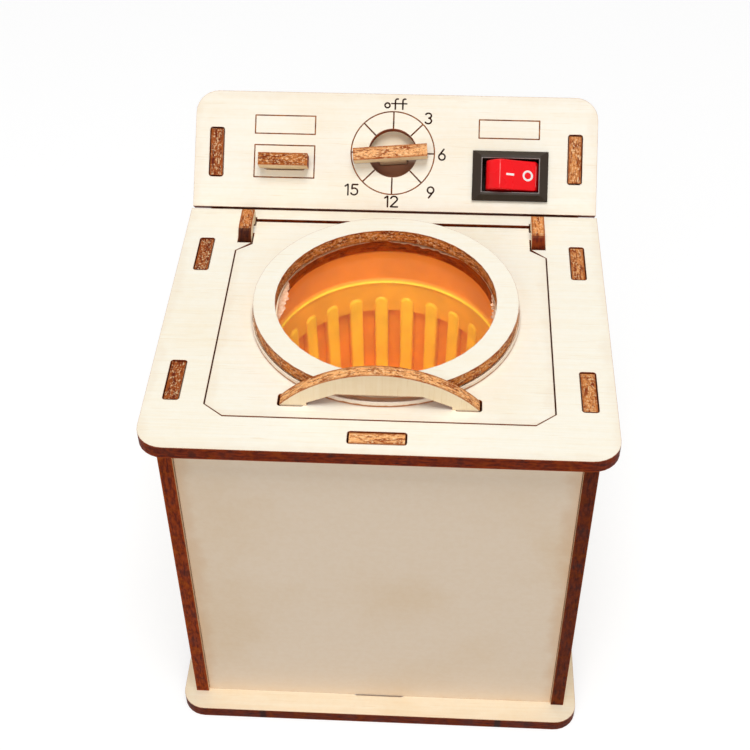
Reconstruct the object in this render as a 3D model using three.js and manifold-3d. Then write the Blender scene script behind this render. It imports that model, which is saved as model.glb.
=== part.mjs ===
// Plywood model of a top-loading washing machine: a laser-cut case whose sheets plug into each
// other, a glazed lid on two pegs, a ribbed tub on a small motor, a battery box, and a sloping
// console with a rocker switch and a timer pointer.
// Millimetres, +Z up, the front towards -Y. Depths are measured from the front edge of the top
// panel, and the whole machine is set back so that the middle of its base is the origin.
import * as THREE from 'three';
import Module from 'manifold-3d';
import { mergeVertices } from 'three/addons/utils/BufferGeometryUtils.js';

const wasm = await Module();
wasm.setup();

// Plywood and how it plugs together
const ply = 2.5;
const tabLength = 9.4;
const tabSink = 0.12;
const slotPlay = 0.23;
const slotEndPlay = 0.33;
const slotCorner = 0.55;
const seatGap = 0.3;
const overrun = 1;
const cornerSteps = 4;
const outlineCornerSteps = 7;

// Round hole in the lid, and the window disc and the ring glued on a little ahead of it
const portholeRadius = 20;
const portholeSetback = 1.2;
const portholeSteps = 48;
const ringBoreSpare = 0.1;
const ringWidth = 4;
const ringFlatWall = 1.7;
const ringHandleGap = 0.3;
const windowMargin = 0.4;
const windowThickness = 1.2;

// Lid, measured on the closed lid
const lidFront = 8;
const lidMargin = 5.3;
const lidChamferAcross = 3.3;
const lidChamferAlong = 2.6;
const lidTailInset = 2.9;
const lidTailRun = 4.7;
const lidShoulderRun = 2.1;
const lidBackReach = 2.5;
const lidKerf = 0.25;
const lidBackGap = 0.9;
const lidPegWidth = 2.4;
const hingeSetback = 4.3;

// Handle: an arch that stands on the lid, over the front edge of the window disc
const handleSetback = 2.9;
const handleHeight = 7.5;
const handleClearance = 2.9;
const handleFootGap = 1.8;
const handleFootRise = 0.7;
const handleFootSlope = 5.1;
const handleFootStep = 0.8;
const handleTabWidth = 3.7;
const handleShoulder = 0.2;
const handleSlotSpare = 0.27;
const handleSteps = 28;

// Case
const lidToCase = 7.3;
const topOverhang = 3.35;
const topCorner = 5;
const topBackStrip = 3.1;
const baseOverhang = 2.45;
const baseFrontReach = 2.2;
const baseBackReach = 2.8;
const baseCorner = 4.5;
const sideFront = 1.92;
const frontPanelInset = 0.58;
const backPanelInset = 0.2;
const panelPlay = 0.1;
const frontTabPlace = 16.35;
const backTabInset = 14.6;
const backPanelDrop = 7.6;
const backWindowMargin = 4.5;
const backWindowLintel = 20;
const backWindowSill = 5.5;
const backWindowCorner = 4;

// Console: a sheet that leans back from the back edge of the top panel
const consoleSideInset = 0.2;
const consoleLength = 23.5;
const consoleLean = THREE.MathUtils.degToRad(45.5);
const consoleCorner = 4.5;
const consoleFootGap = 0.36;
const consoleTabShare = 0.471;

// Hinge rails: strips under the sides of the lid, each with an ear that takes a peg
const railFrontGap = 5;
const railBackGap = 0.3;
const railHeight = 11.6;
const railTabInset = 9;
const earFrontReach = 3.95;
const earBackReach = 3.6;
const earRise = 2.5;
const earFrontCorner = 2.2;
const earBackCorner = 0.7;
const earGap = 0.3;
const pegPlay = 0.3;

// Shelves inside the case
const deckFrontGap = 0.3;
const deckBackReach = 2;
const cradleDrop = 19;
const shelfMargin = 2.05;

// Wash tub
const tubForward = 0.3;
const tubHeight = 35.9;
const tubTopGap = 0.9;
const tubFloor = 1.4;
const tubWall = 1.05;
const tubBoreMargin = 2.3;
const tubRimReach = 1.6;
const tubRimDepth = 1.2;
const ledgeDrop = 6.7;
const ledgeStep = 1;
const ledgeRound = 0.45;
const bandSetback = 0.15;
const bandHeight = 4;
const ribCount = 26;
const ribTurnShare = 0.37;
const ribWidthShare = 0.5177;
const ribCrownShare = 0.94;
const ribFlankShare = 0.6;
const ribStand = 0.35;
const ribFootRise = 2.4;
const domeShares = [0.1, 0.4, 1];
const gapWidthShare = 0.455;
const gapSink = 0.95;
const gapDrop = 3.4;
const gapEdge = 0.08;
const tubTaper = 0.75;
const floorRound = 1.8;
const tubRunningGap = 1;
const tubOuterSteps = 52;

// Hub between the tub and the motor shaft
const hubGap = 1.1;
const hubFlangeRadius = 8;
const hubFlangeThickness = 1.2;
const hubBossRadius = 2.7;
const hubCap = 1.5;
const hubHoleGap = 0.2;
const shaftInHub = 4.4;
const shaftPressGap = 0.08;
const roundSteps = 24;

// Motor
const motorWidth = 20.1;
const motorThickness = 15.1;
const motorCanLength = 20.4;
const motorCapLength = 4.6;
const motorBossRadius = 3.05;
const motorBossHeight = 1.7;
const motorCanCorner = 0.5;
const motorGrip = 0.12;
const shaftRadius = 1;
const shaftRoot = 4;
const shaftRunningGap = 0.3;
const motorTagSpread = 11;
const motorTagWidth = 2.4;
const motorTagLength = 3;
const motorTagRoom = 1.5;
const tagThickness = 0.45;
const tagSeat = 1;
const tagPlay = 0.15;

// Rocker switch
const switchInset = 17.2;
const switchUpShare = 0.315;
const bezelWidth = 15;
const bezelHeight = 10;
const bezelLip = 0.3;
const bezelRise = 1.4;
const bezelCrestWidth = 11.7;
const bezelCrestHeight = 7.9;
const bezelOpeningWidth = 11.5;
const bezelOpeningHeight = 7;
const switchBodyWidth = 13.2;
const switchBodyHeight = 8.6;
const switchBodyDepth = 9.4;
const switchCutPlay = 0.15;
const wellWidth = 12.3;
const rockerRadius = 5.8;
const rockerHalfTop = 3.85;
const rockerDish = 0.22;
const rockerWidth = 6.2;
const rockerFoot = 1.5;
const rockerPivotDepth = 1.9;
const rockerTilt = THREE.MathUtils.degToRad(20);
const rockerFloorGap = 0.5;
const rockerPinRadius = 0.8;
const rockerPinReach = 0.5;
const switchTagSpread = 7.6;
const switchTagWidth = 2.6;
const switchTagLength = 4.4;

// Timer and drawer front
const timerAcross = -0.45;
const timerUpShare = 0.4936;
const timerTurn = THREE.MathUtils.degToRad(5);
const dialHoleRadius = 4.9;
const timerDiscRadius = 7.4;
const pointerLength = 14.7;
const pointerShift = 0.45;
const pointerDrop = 0.45;
const pointerRise = 3.5;
const pointerTongue = 5.4;
const pullInset = 18.15;
const pullUpShare = 0.3894;
const pullLength = 9.8;
const pullRise = 3.9;
const pullTongue = 7.6;

// Battery box with two cells
const boxFrontGap = 2.4;
const boxBackGap = 1.1;
const boxBelowCell = 0.1;
const boxWall = 1.2;
const cellRadius = 7;
const cellGap = 0.4;
const cellBody = 48.8;
const cellNubRadius = 2.7;
const cellNub = 1.3;
const contactThickness = 0.4;
const contactHeight = 12.2;
const contactWidth = 9;
const springLength = 3.2;
const springWire = 0.3;
const springWide = 4.2;
const springNarrow = 2.4;
const springTurns = 3;
const springSides = 5;
const springStepsPerTurn = 8;
const springChecksPerTurn = 24;
const screwPlace = 14;
const screwHeadRadius = 1.9;
const screwHeadHeight = 1.1;
const screwRadius = 0.9;
const screwPlay = 0.15;
const screwBite = 2.5;

// Wires
const wireRadius = 0.65;
const wireSides = 8;
const wireSteps = 38;

// Places across, worked outwards from the round hole in the lid
const ringInnerRadius = portholeRadius + ringBoreSpare;
const ringOuterRadius = ringInnerRadius + ringWidth;
const windowRadius = ringOuterRadius + windowMargin;
const lidWidth = 2 * (windowRadius + lidMargin);
const lidTailWidth = lidWidth - 2 * lidTailInset;
const earInner = lidTailWidth / 2 + earGap;
const caseWidth = lidWidth + 2 * lidToCase;
const topWidth = caseWidth + 2 * topOverhang;
const baseWidth = caseWidth + 2 * baseOverhang;
const halfOuter = caseWidth / 2;
const halfInner = halfOuter - ply;
const sideMiddle = halfOuter - ply / 2;
const panelHalf = halfInner - panelPlay;
const backWindowWidth = 2 * (panelHalf - backWindowMargin);
const consoleWidth = topWidth - 2 * consoleSideInset;
const switchAcross = consoleWidth / 2 - switchInset;
const pullAcross = pullInset - consoleWidth / 2;

// Places in depth, worked from the lid's front edge to the back of the base
const handleFront = lidFront + handleSetback;
const handleBack = handleFront + ply;
const windowPlace = handleBack + ringHandleGap + ringFlatWall + ringInnerRadius;
const windowHalfAtHandle = Math.sqrt(windowRadius ** 2 - (windowPlace - handleBack) ** 2);
const handleFootInner = windowHalfAtHandle + handleFootGap;
const handleGripHalf = handleFootInner - handleFootSlope;
const handleTabInner = handleFootInner + handleFootStep;
const handleTabOuter = handleTabInner + handleTabWidth;
const handleSlotEnd = handleTabOuter + handleSlotSpare;
const handleSpan = 2 * (handleTabOuter + handleShoulder);
const portholePlace = windowPlace + portholeSetback;
const tubPlace = windowPlace - tubForward;
const hingePlace = windowPlace + portholeRadius + hingeSetback;
const lidTailStart = hingePlace - lidTailRun;
const lidShoulder = lidTailStart - lidShoulderRun;
const lidBack = hingePlace + lidBackReach;
const openingBack = lidBack + lidBackGap;
const topDepth = openingBack + topBackStrip;
const backTabPlace = topDepth - backTabInset;
const earFront = hingePlace - earFrontReach;
const earBack = hingePlace + earBackReach;
const frontPanelFace = sideFront + frontPanelInset;
const railFront = frontPanelFace + ply + railFrontGap;
const railBack = topDepth - railBackGap;
const railTabFront = railFront + railTabInset;
const railTabBack = railBack - railTabInset;
const deckBack = railBack + deckBackReach;
const shelfReach = motorThickness / 2 + shelfMargin;
const cellSpacing = 2 * cellRadius + cellGap;
const boxWidth = cellSpacing + 2 * (cellRadius + cellGap + boxWall);
const boxFront = tubPlace + shelfReach + boxFrontGap;
const boxMiddle = boxFront + boxWidth / 2;
const backPanelFace = boxFront + boxWidth + boxBackGap + ply;
const sideBack = backPanelFace + backPanelInset;
const baseFront = -baseFrontReach;
const baseBack = sideBack + baseBackReach;
const consoleFoot = topDepth + consoleFootGap;

// Heights, worked from the base up
const motorPlateHeight = ply + motorTagRoom + motorTagLength + motorCapLength + motorCanLength;
const motorFace = motorPlateHeight;
const cradleHeight = motorPlateHeight - cradleDrop;
const tubBottom = motorPlateHeight + ply + hubGap + hubFlangeThickness;
const shaftReach = ply + hubGap + hubFlangeThickness + shaftInHub;
const hubBlindEnd = motorFace + shaftReach + seatGap;
const ribFoot = tubBottom + tubFloor + ribFootRise;
const tubRim = tubBottom + tubHeight;
const ledgeHeight = tubRim - ledgeDrop;
const ribTop = ledgeHeight - bandHeight;
const gapTop = ribTop - gapDrop;
const underTop = tubRim + tubTopGap;
const caseHeight = underTop + ply;
const windowTop = caseHeight + windowThickness;
const hingeHeight = caseHeight - ply / 2;
const deckHeight = underTop - seatGap - railHeight - ply;
const backPanelTop = underTop - backPanelDrop;
const backWindowHeight = backPanelTop - ply - backWindowSill - backWindowLintel;
const consoleSill = caseHeight + seatGap;

// Bores of the tub and the pitch of its ribs
const tubUpperBore = portholeRadius + tubBoreMargin;
const ledgeBore = tubUpperBore - ledgeStep;
const bandBore = ledgeBore + bandSetback;
const ribFaceBore = bandBore - ribStand;
const gapBore = bandBore + gapSink;
const ribPitch = (2 * Math.PI * ribFaceBore) / ribCount;
const ribHalfWidth = (ribWidthShare * ribPitch) / 2;
const gapHalfWidth = (gapWidthShare * ribPitch) / 2;

// Places on the console's slope, and the battery box
const consoleTabPlace = consoleTabShare * consoleLength;
const switchUp = switchUpShare * consoleLength;
const timerUp = timerUpShare * consoleLength;
const pullUp = pullUpShare * consoleLength;
const boxLength = cellBody + cellNub + springLength + 3 * seatGap
  + 2 * (springWire + contactThickness + boxWall);
const boxHeight = boxWall + cellGap + 2 * cellRadius - boxBelowCell;

// Finishes
function finish(color, roughness, metalness) {
  return new THREE.MeshStandardMaterial({ color, roughness, metalness });
}

const plywood = finish(0xf6e7cc, 0.75, 0);
const clearSheet = finish(0xf4f6f4, 0.08, 0);
clearSheet.transparent = true;
clearSheet.opacity = 0.25;
const orangePlastic = finish(0xf5921f, 0.4, 0);
const whitePlastic = finish(0xeeeeea, 0.5, 0);
const blackPlastic = finish(0x35322f, 0.45, 0);
const redPlastic = finish(0xe5131b, 0.35, 0);
const steel = finish(0xc3c5c6, 0.35, 0.9);
const brass = finish(0xd8bd72, 0.35, 0.9);
const cellJacket = finish(0x2f4f3c, 0.4, 0.2);
const redWire = finish(0xc8201c, 0.5, 0);
const blackWire = finish(0x222222, 0.5, 0);

// Points, outlines and holes
const at = (x, y) => new THREE.Vector2(x, y);

function arc(centre, radius, from, to, steps) {
  return Array.from({ length: steps + 1 }, (_, step) => {
    const angle = from + ((to - from) * step) / steps;
    return at(centre.x + radius * Math.cos(angle), centre.y + radius * Math.sin(angle));
  });
}

function circle(centre, radius, steps) {
  return arc(centre, radius, 0, 2 * Math.PI, steps).slice(0, -1);
}

function roundedRectangle(centre, width, height, radius, steps = cornerSteps) {
  const across = width / 2 - radius;
  const up = height / 2 - radius;
  const quarter = Math.PI / 2;
  return [
    ...arc(at(centre.x + across, centre.y - up), radius, -quarter, 0, steps),
    ...arc(at(centre.x + across, centre.y + up), radius, 0, quarter, steps),
    ...arc(at(centre.x - across, centre.y + up), radius, quarter, 2 * quarter, steps),
    ...arc(at(centre.x - across, centre.y - up), radius, 2 * quarter, 3 * quarter, steps),
  ];
}

// One straight edge, walked with the sheet on its left, with a tab at each distance given
function edgeWithTabs(from, to, places = [], reach = ply - tabSink) {
  const run = to.clone().sub(from).normalize();
  const out = at(run.y, -run.x);
  const points = [from];
  for (const place of places) {
    for (const [along, away] of [[-1, 0], [-1, 1], [1, 1], [1, 0]]) {
      const point = from.clone().addScaledVector(run, place + (along * tabLength) / 2);
      points.push(point.addScaledVector(out, away * reach));
    }
  }
  return points;
}

const slotAcross = (centre, length = tabLength) => roundedRectangle(
  centre, length + 2 * slotEndPlay, ply + 2 * slotPlay, slotCorner);
const slotAlong = (centre, length = tabLength) => roundedRectangle(
  centre, ply + 2 * slotPlay, length + 2 * slotEndPlay, slotCorner);

// Sheets are drawn flat and turned: a side sheet is drawn in depth and height, an upright sheet
// in width and height with its thickness running towards the front.
const towardsSide = new THREE.Matrix4().makeBasis(
  new THREE.Vector3(0, 1, 0), new THREE.Vector3(0, 0, 1), new THREE.Vector3(1, 0, 0));
const towardsFront = new THREE.Matrix4().makeBasis(
  new THREE.Vector3(1, 0, 0), new THREE.Vector3(0, 0, 1), new THREE.Vector3(0, -1, 0));

function extrude(outline, holes, depth) {
  const shape = new THREE.Shape(outline);
  shape.holes = holes.map((points) => new THREE.Path(points));
  return new THREE.ExtrudeGeometry(shape, { depth, bevelEnabled: false });
}

const flatSheet = (outline, holes = [], depth = ply) => extrude(outline, holes, depth);
const sideSheet = (outline, holes = []) => extrude(outline, holes, ply).applyMatrix4(towardsSide);
const uprightSheet = (outline, holes = []) => extrude(outline, holes, ply).applyMatrix4(towardsFront);

// Turned shapes stand on the axis; solid cylinders lie along Z from their own bottom
function revolve(profile, steps = roundSteps) {
  return new THREE.LatheGeometry(profile, steps).rotateX(Math.PI / 2);
}

function box(width, depth, height) {
  return new THREE.BoxGeometry(width, depth, height).translate(0, 0, height / 2);
}

function drum(radius, height, steps = roundSteps) {
  return flatSheet(circle(at(0, 0), radius, steps), [], height);
}

// Joining and cutting solids
function solidOf(geometry) {
  const bare = geometry.clone();
  bare.deleteAttribute('normal');
  bare.deleteAttribute('uv');
  const merged = mergeVertices(bare);
  const index = merged.index.array;
  const kept = [];
  for (let i = 0; i < index.length; i += 3) {
    const [a, b, c] = [index[i], index[i + 1], index[i + 2]];
    if (a !== b && b !== c && c !== a) kept.push(a, b, c);
  }
  return new wasm.Manifold(new wasm.Mesh({
    numProp: 3,
    vertProperties: new Float32Array(merged.attributes.position.array),
    triVerts: new Uint32Array(kept),
  }));
}

function geometryOf(solid) {
  const mesh = solid.getMesh();
  const geometry = new THREE.BufferGeometry();
  geometry.setAttribute('position', new THREE.BufferAttribute(mesh.vertProperties, 3));
  geometry.setIndex(new THREE.BufferAttribute(mesh.triVerts, 1));
  geometry.computeVertexNormals();
  return geometry;
}

const joined = (...shapes) => geometryOf(shapes.map(solidOf).reduce((sum, shape) => sum.add(shape)));
const cut = (shape, ...tools) => geometryOf(
  tools.map(solidOf).reduce((rest, tool) => rest.subtract(tool), solidOf(shape)));

function piece(name, geometry, material, x = 0, y = 0, z = 0) {
  const mesh = new THREE.Mesh(geometry, material);
  mesh.name = name;
  mesh.position.set(x, y, z);
  return mesh;
}

// Height of the underside of the console above a depth, less the seat gap
function underConsole(depth) {
  const back = consoleFoot + ply * Math.cos(consoleLean);
  const height = consoleSill - ply * Math.sin(consoleLean);
  return height + (depth - back) / Math.tan(consoleLean) - seatGap / Math.sin(consoleLean);
}

function basePlate() {
  const middle = (baseFront + baseBack) / 2;
  const outline = roundedRectangle(
    at(0, middle), baseWidth, baseBack - baseFront, baseCorner, outlineCornerSteps);
  const holes = [-1, 1].flatMap((side) => [
    slotAlong(at(side * sideMiddle, frontTabPlace)),
    slotAlong(at(side * sideMiddle, backTabPlace)),
    circle(at(side * screwPlace, boxMiddle), screwRadius + screwPlay, cornerSteps * 4),
  ]);
  holes.push(slotAcross(at(0, frontPanelFace + ply / 2)));
  holes.push(slotAcross(at(0, backPanelFace - ply / 2)));
  return piece('base_plate', flatSheet(outline, holes), plywood);
}

function topPanel() {
  const half = topWidth / 2;
  const quarter = Math.PI / 2;
  const outline = [
    ...arc(at(half - topCorner, topCorner), topCorner, -quarter, 0, outlineCornerSteps),
    at(half, topDepth),
    at(-half, topDepth),
    ...arc(at(topCorner - half, topCorner), topCorner, 2 * quarter, 3 * quarter, outlineCornerSteps),
  ];
  const holes = [-1, 1].flatMap((side) => [
    slotAlong(at(side * sideMiddle, frontTabPlace)),
    slotAlong(at(side * sideMiddle, backTabPlace)),
  ]);
  holes.push(slotAcross(at(0, frontPanelFace + ply / 2)));
  holes.push(lidOpening());
  return piece('top_panel', flatSheet(outline, holes), plywood, 0, 0, underTop);
}

// The opening follows the lid a saw cut away, and widens behind its shoulders for the two ears
function lidOpening() {
  const half = lidWidth / 2 + lidKerf;
  const notchInner = earInner - slotPlay;
  const notchOuter = earInner + ply + slotPlay;
  const rightSide = [
    at(lidWidth / 2 - lidChamferAcross, lidFront - lidKerf),
    at(half, lidFront + lidChamferAlong),
    at(half, lidShoulder),
    at(earInner, earFront - slotEndPlay),
    at(notchOuter, earFront - slotEndPlay),
    at(notchOuter, earBack + slotEndPlay),
    at(notchInner, earBack + slotEndPlay),
    at(notchInner, openingBack),
  ];
  return [...rightSide, ...mirrored(rightSide)];
}

const mirrored = (points) => points.map((point) => at(-point.x, point.y)).reverse();

function sidePanel(name, side) {
  const lean = at(Math.sin(consoleLean), Math.cos(consoleLean));
  const topEnd = at(sideBack, underConsole(sideBack));
  const slopeFoot = at(sideBack - (topEnd.y - underTop) * Math.tan(consoleLean), underTop);
  const tabFromTop = topEnd.clone().sub(consolePoint(consoleTabPlace, -ply)).dot(lean);
  const bottomTabs = [frontTabPlace - sideFront, backTabPlace - sideFront];
  const topTabs = [slopeFoot.x - backTabPlace, slopeFoot.x - frontTabPlace];
  const outline = [
    ...edgeWithTabs(at(sideFront, ply), at(sideBack, ply), bottomTabs),
    at(sideBack, ply),
    ...edgeWithTabs(topEnd, slopeFoot, [tabFromTop], ply + seatGap - tabSink),
    ...edgeWithTabs(slopeFoot, at(sideFront, underTop), topTabs),
    at(sideFront, underTop),
  ];
  const holes = [
    slotAcross(at(frontTabPlace, deckHeight + ply / 2)),
    slotAcross(at(backTabPlace, deckHeight + ply / 2)),
    slotAcross(at(tubPlace, motorPlateHeight + ply / 2)),
    slotAcross(at(tubPlace, cradleHeight + ply / 2)),
  ];
  const start = side > 0 ? halfInner : -halfOuter;
  return piece(name, sideSheet(outline, holes), plywood, start, 0, 0);
}

// Depth and height of a point given up the console's slope and out from its face
function consolePoint(up, out) {
  return at(
    consoleFoot + up * Math.sin(consoleLean) - out * Math.cos(consoleLean),
    consoleSill + up * Math.cos(consoleLean) + out * Math.sin(consoleLean));
}

function frontPanel() {
  const outline = [
    ...edgeWithTabs(at(-panelHalf, ply), at(panelHalf, ply), [panelHalf]),
    at(panelHalf, ply),
    ...edgeWithTabs(at(panelHalf, underTop), at(-panelHalf, underTop), [panelHalf]),
    at(-panelHalf, underTop),
  ];
  return piece('front_panel', uprightSheet(outline), plywood, 0, frontPanelFace + ply, 0);
}

function backPanel() {
  const outline = [
    ...edgeWithTabs(at(-panelHalf, ply), at(panelHalf, ply), [panelHalf]),
    at(panelHalf, ply),
    at(panelHalf, backPanelTop),
    at(-panelHalf, backPanelTop),
  ];
  const middle = ply + backWindowSill + backWindowHeight / 2;
  const access = roundedRectangle(
    at(0, middle), backWindowWidth, backWindowHeight, backWindowCorner, outlineCornerSteps);
  return piece('back_panel', uprightSheet(outline, [access]), plywood, 0, backPanelFace, 0);
}

// A level sheet between the two sides, plugged into them at the given depths
function shelf(name, front, back, height, places, holes) {
  const rightTabs = places.map((place) => place - front);
  const leftTabs = places.map((place) => back - place).reverse();
  const outline = [
    ...edgeWithTabs(at(halfInner, front), at(halfInner, back), rightTabs),
    at(halfInner, back),
    ...edgeWithTabs(at(-halfInner, back), at(-halfInner, front), leftTabs),
    at(-halfInner, front),
  ];
  return piece(name, flatSheet(outline, holes), plywood, 0, 0, height);
}

function tubDeck() {
  const front = frontPanelFace + ply + deckFrontGap;
  const holes = [circle(at(0, tubPlace), gapBore + tubWall + tubRunningGap, portholeSteps)];
  for (const side of [-1, 1]) {
    for (const place of [railTabFront, railTabBack]) {
      holes.push(slotAlong(at(side * (earInner + ply / 2), place)));
    }
  }
  return shelf('tub_deck', front, deckBack, deckHeight, [frontTabPlace, backTabPlace], holes);
}

function motorOutline(grow) {
  const radius = motorWidth / 2 + grow;
  const flat = motorThickness / 2 + grow;
  const angle = Math.asin(flat / radius);
  const centre = at(0, 0);
  return [
    ...arc(centre, radius, -angle, angle, outlineCornerSteps),
    ...arc(centre, radius, Math.PI - angle, Math.PI + angle, outlineCornerSteps),
  ];
}

function motorShelf(name, height, hole) {
  return shelf(name, tubPlace - shelfReach, tubPlace + shelfReach, height, [tubPlace], [hole]);
}

function motorPlate() {
  const hole = circle(at(0, tubPlace), motorBossRadius + motorGrip, roundSteps);
  return motorShelf('motor_plate', motorPlateHeight, hole);
}

function motorCradle() {
  const hole = motorOutline(motorGrip).map((point) => at(point.x, point.y + tubPlace));
  return motorShelf('motor_cradle', cradleHeight, hole);
}

function hingeRail(name, side) {
  const bottom = deckHeight + ply;
  const top = underTop - seatGap;
  const earTop = caseHeight + earRise;
  const quarter = Math.PI / 2;
  const backCorner = at(earBack - earBackCorner, earTop - earBackCorner);
  const frontCorner = at(earFront + earFrontCorner, earTop - earFrontCorner);
  const tabs = [railTabFront - railFront, railTabBack - railFront];
  const outline = [
    ...edgeWithTabs(at(railFront, bottom), at(railBack, bottom), tabs),
    at(railBack, bottom),
    at(railBack, top),
    at(earBack, top),
    ...arc(backCorner, earBackCorner, 0, quarter, cornerSteps),
    ...arc(frontCorner, earFrontCorner, quarter, 2 * quarter, outlineCornerSteps),
    at(earFront, top),
    at(railFront, top),
  ];
  const pegReach = Math.hypot(lidPegWidth, ply) / 2;
  const hole = circle(at(hingePlace, hingeHeight), pegReach + pegPlay, roundSteps);
  const start = side > 0 ? earInner : -earInner - ply;
  return piece(name, sideSheet(outline, [hole]), plywood, start, 0, 0);
}

function lidPanel() {
  const half = lidWidth / 2;
  const tail = lidTailWidth / 2;
  const peg = earInner + ply;
  const rightSide = [
    at(half - lidChamferAcross, lidFront),
    at(half, lidFront + lidChamferAlong),
    at(half, lidShoulder),
    at(tail, lidTailStart),
    at(tail, hingePlace - lidPegWidth / 2),
    at(peg, hingePlace - lidPegWidth / 2),
    at(peg, hingePlace + lidPegWidth / 2),
    at(tail, hingePlace + lidPegWidth / 2),
    at(tail, lidBack),
  ];
  const handleMiddle = handleFront + ply / 2;
  const slotMiddle = (handleTabInner + handleSlotEnd) / 2;
  const slotLength = handleSlotEnd - handleTabInner;
  const holes = [
    circle(at(0, portholePlace), portholeRadius, portholeSteps),
    slotAcross(at(-slotMiddle, handleMiddle), slotLength),
    slotAcross(at(slotMiddle, handleMiddle), slotLength),
  ];
  const sheet = flatSheet([...rightSide, ...mirrored(rightSide)], holes);
  return piece('lid_panel', sheet, plywood, 0, 0, underTop);
}

function lidWindow() {
  const disc = drum(windowRadius, windowThickness, portholeSteps);
  return piece('lid_window', disc, clearSheet, 0, windowPlace, caseHeight);
}

// The ring is cut off square where the handle stands
function lidRing() {
  const flat = handleBack + ringHandleGap - windowPlace;
  const start = Math.asin(flat / ringOuterRadius);
  const outline = arc(at(0, 0), ringOuterRadius, start, Math.PI - start, portholeSteps);
  const bore = circle(at(0, 0), ringInnerRadius, portholeSteps);
  return piece('lid_ring', flatSheet(outline, [bore]), plywood, 0, windowPlace, windowTop);
}

function lidHandle() {
  const half = handleSpan / 2;
  const radius = (half ** 2 + handleHeight ** 2) / (2 * handleHeight);
  const spread = Math.asin(half / radius);
  const top = Math.PI / 2;
  const arch = arc(at(0, handleHeight - radius), radius, top - spread, top + spread, handleSteps);
  const tab = tabSink - ply;
  const rightFoot = [
    at(handleTabOuter, 0),
    at(handleTabOuter, tab),
    at(handleTabInner, tab),
    at(handleTabInner, 0),
    at(handleFootInner, 0),
    at(handleFootInner, handleFootRise),
    at(handleGripHalf, handleClearance),
  ];
  const outline = [...arch, ...mirrored(rightFoot).reverse(), ...rightFoot.slice().reverse()];
  return piece('lid_handle', uprightSheet(outline), plywood, 0, handleBack, caseHeight);
}

// The console and all that it carries is built flat, with X across, Y up the slope and Z out
function consolePanel() {
  const half = consoleWidth / 2;
  const quarter = Math.PI / 2;
  const corner = at(half - consoleCorner, consoleLength - consoleCorner);
  const otherCorner = at(-corner.x, corner.y);
  const outline = [
    at(-half, 0),
    at(half, 0),
    ...arc(corner, consoleCorner, 0, quarter, outlineCornerSteps),
    ...arc(otherCorner, consoleCorner, quarter, 2 * quarter, outlineCornerSteps),
  ];
  const cutWidth = switchBodyWidth + 2 * switchCutPlay;
  const cutHeight = switchBodyHeight + 2 * switchCutPlay;
  const switchHole = roundedRectangle(at(switchAcross, switchUp), cutWidth, cutHeight, slotCorner);
  const holes = [
    slotAlong(at(-sideMiddle, consoleTabPlace)),
    slotAlong(at(sideMiddle, consoleTabPlace)),
    circle(at(timerAcross, timerUp), dialHoleRadius, 2 * roundSteps),
    slotAcross(at(pullAcross, pullUp), pullTongue),
    switchHole,
  ];
  return piece('console_panel', flatSheet(outline, holes), plywood, 0, 0, -ply);
}

// An upright bar on the console, with a tongue that goes down through it
function barWithTongue(length, rise, tongue, reach, shift = 0) {
  const left = -length / 2 - shift;
  const right = length / 2 - shift;
  return uprightSheet([
    at(-tongue / 2, -reach),
    at(tongue / 2, -reach),
    at(tongue / 2, seatGap),
    at(right, seatGap),
    at(right, rise),
    at(left, rise),
    at(left, seatGap),
    at(-tongue / 2, seatGap),
  ]);
}

function timer() {
  const group = new THREE.Group();
  group.position.set(timerAcross, timerUp, 0);
  group.rotation.z = timerTurn;
  const slot = slotAcross(at(0, -pointerDrop), pointerTongue);
  const disc = flatSheet(circle(at(0, 0), timerDiscRadius, 2 * roundSteps), [slot]);
  const discBottom = -2 * ply - seatGap;
  group.add(piece('timer_disc', disc, plywood, 0, 0, discBottom));
  const pointer = barWithTongue(pointerLength, pointerRise, pointerTongue, -discBottom, pointerShift);
  group.add(piece('timer_pointer', pointer, plywood, 0, ply / 2 - pointerDrop, 0));
  return group;
}

function drawerPull() {
  const pull = barWithTongue(pullLength, pullRise, pullTongue, ply);
  return piece('drawer_pull', pull, plywood, pullAcross, pullUp + ply / 2, 0);
}

// The pocket that holds the root of a contact tag, open at the bottom
function tagSlot(width) {
  const slot = box(tagThickness + 2 * tagPlay, width + 2 * tagPlay, tagSeat + overrun);
  return slot.translate(0, 0, -overrun);
}

// A bevelled frame: rectangles stacked at rising heights and skinned together
function stackedRectangles(levels) {
  const shape = [];
  for (const [width, height, level] of levels) {
    for (const [x, y] of [[-1, -1], [1, -1], [1, 1], [-1, 1]]) {
      shape.push(x * width / 2, y * height / 2, level);
    }
  }
  const index = [0, 2, 1, 0, 3, 2];
  for (let level = 0; level < levels.length - 1; level += 1) {
    for (let side = 0; side < 4; side += 1) {
      const a = level * 4 + side;
      const b = level * 4 + (side + 1) % 4;
      index.push(a, b, b + 4, a, b + 4, a + 4);
    }
  }
  const last = (levels.length - 1) * 4;
  index.push(last, last + 1, last + 2, last, last + 2, last + 3);
  const geometry = new THREE.BufferGeometry();
  geometry.setAttribute('position', new THREE.Float32BufferAttribute(shape, 3));
  geometry.setIndex(index);
  return geometry;
}

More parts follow.
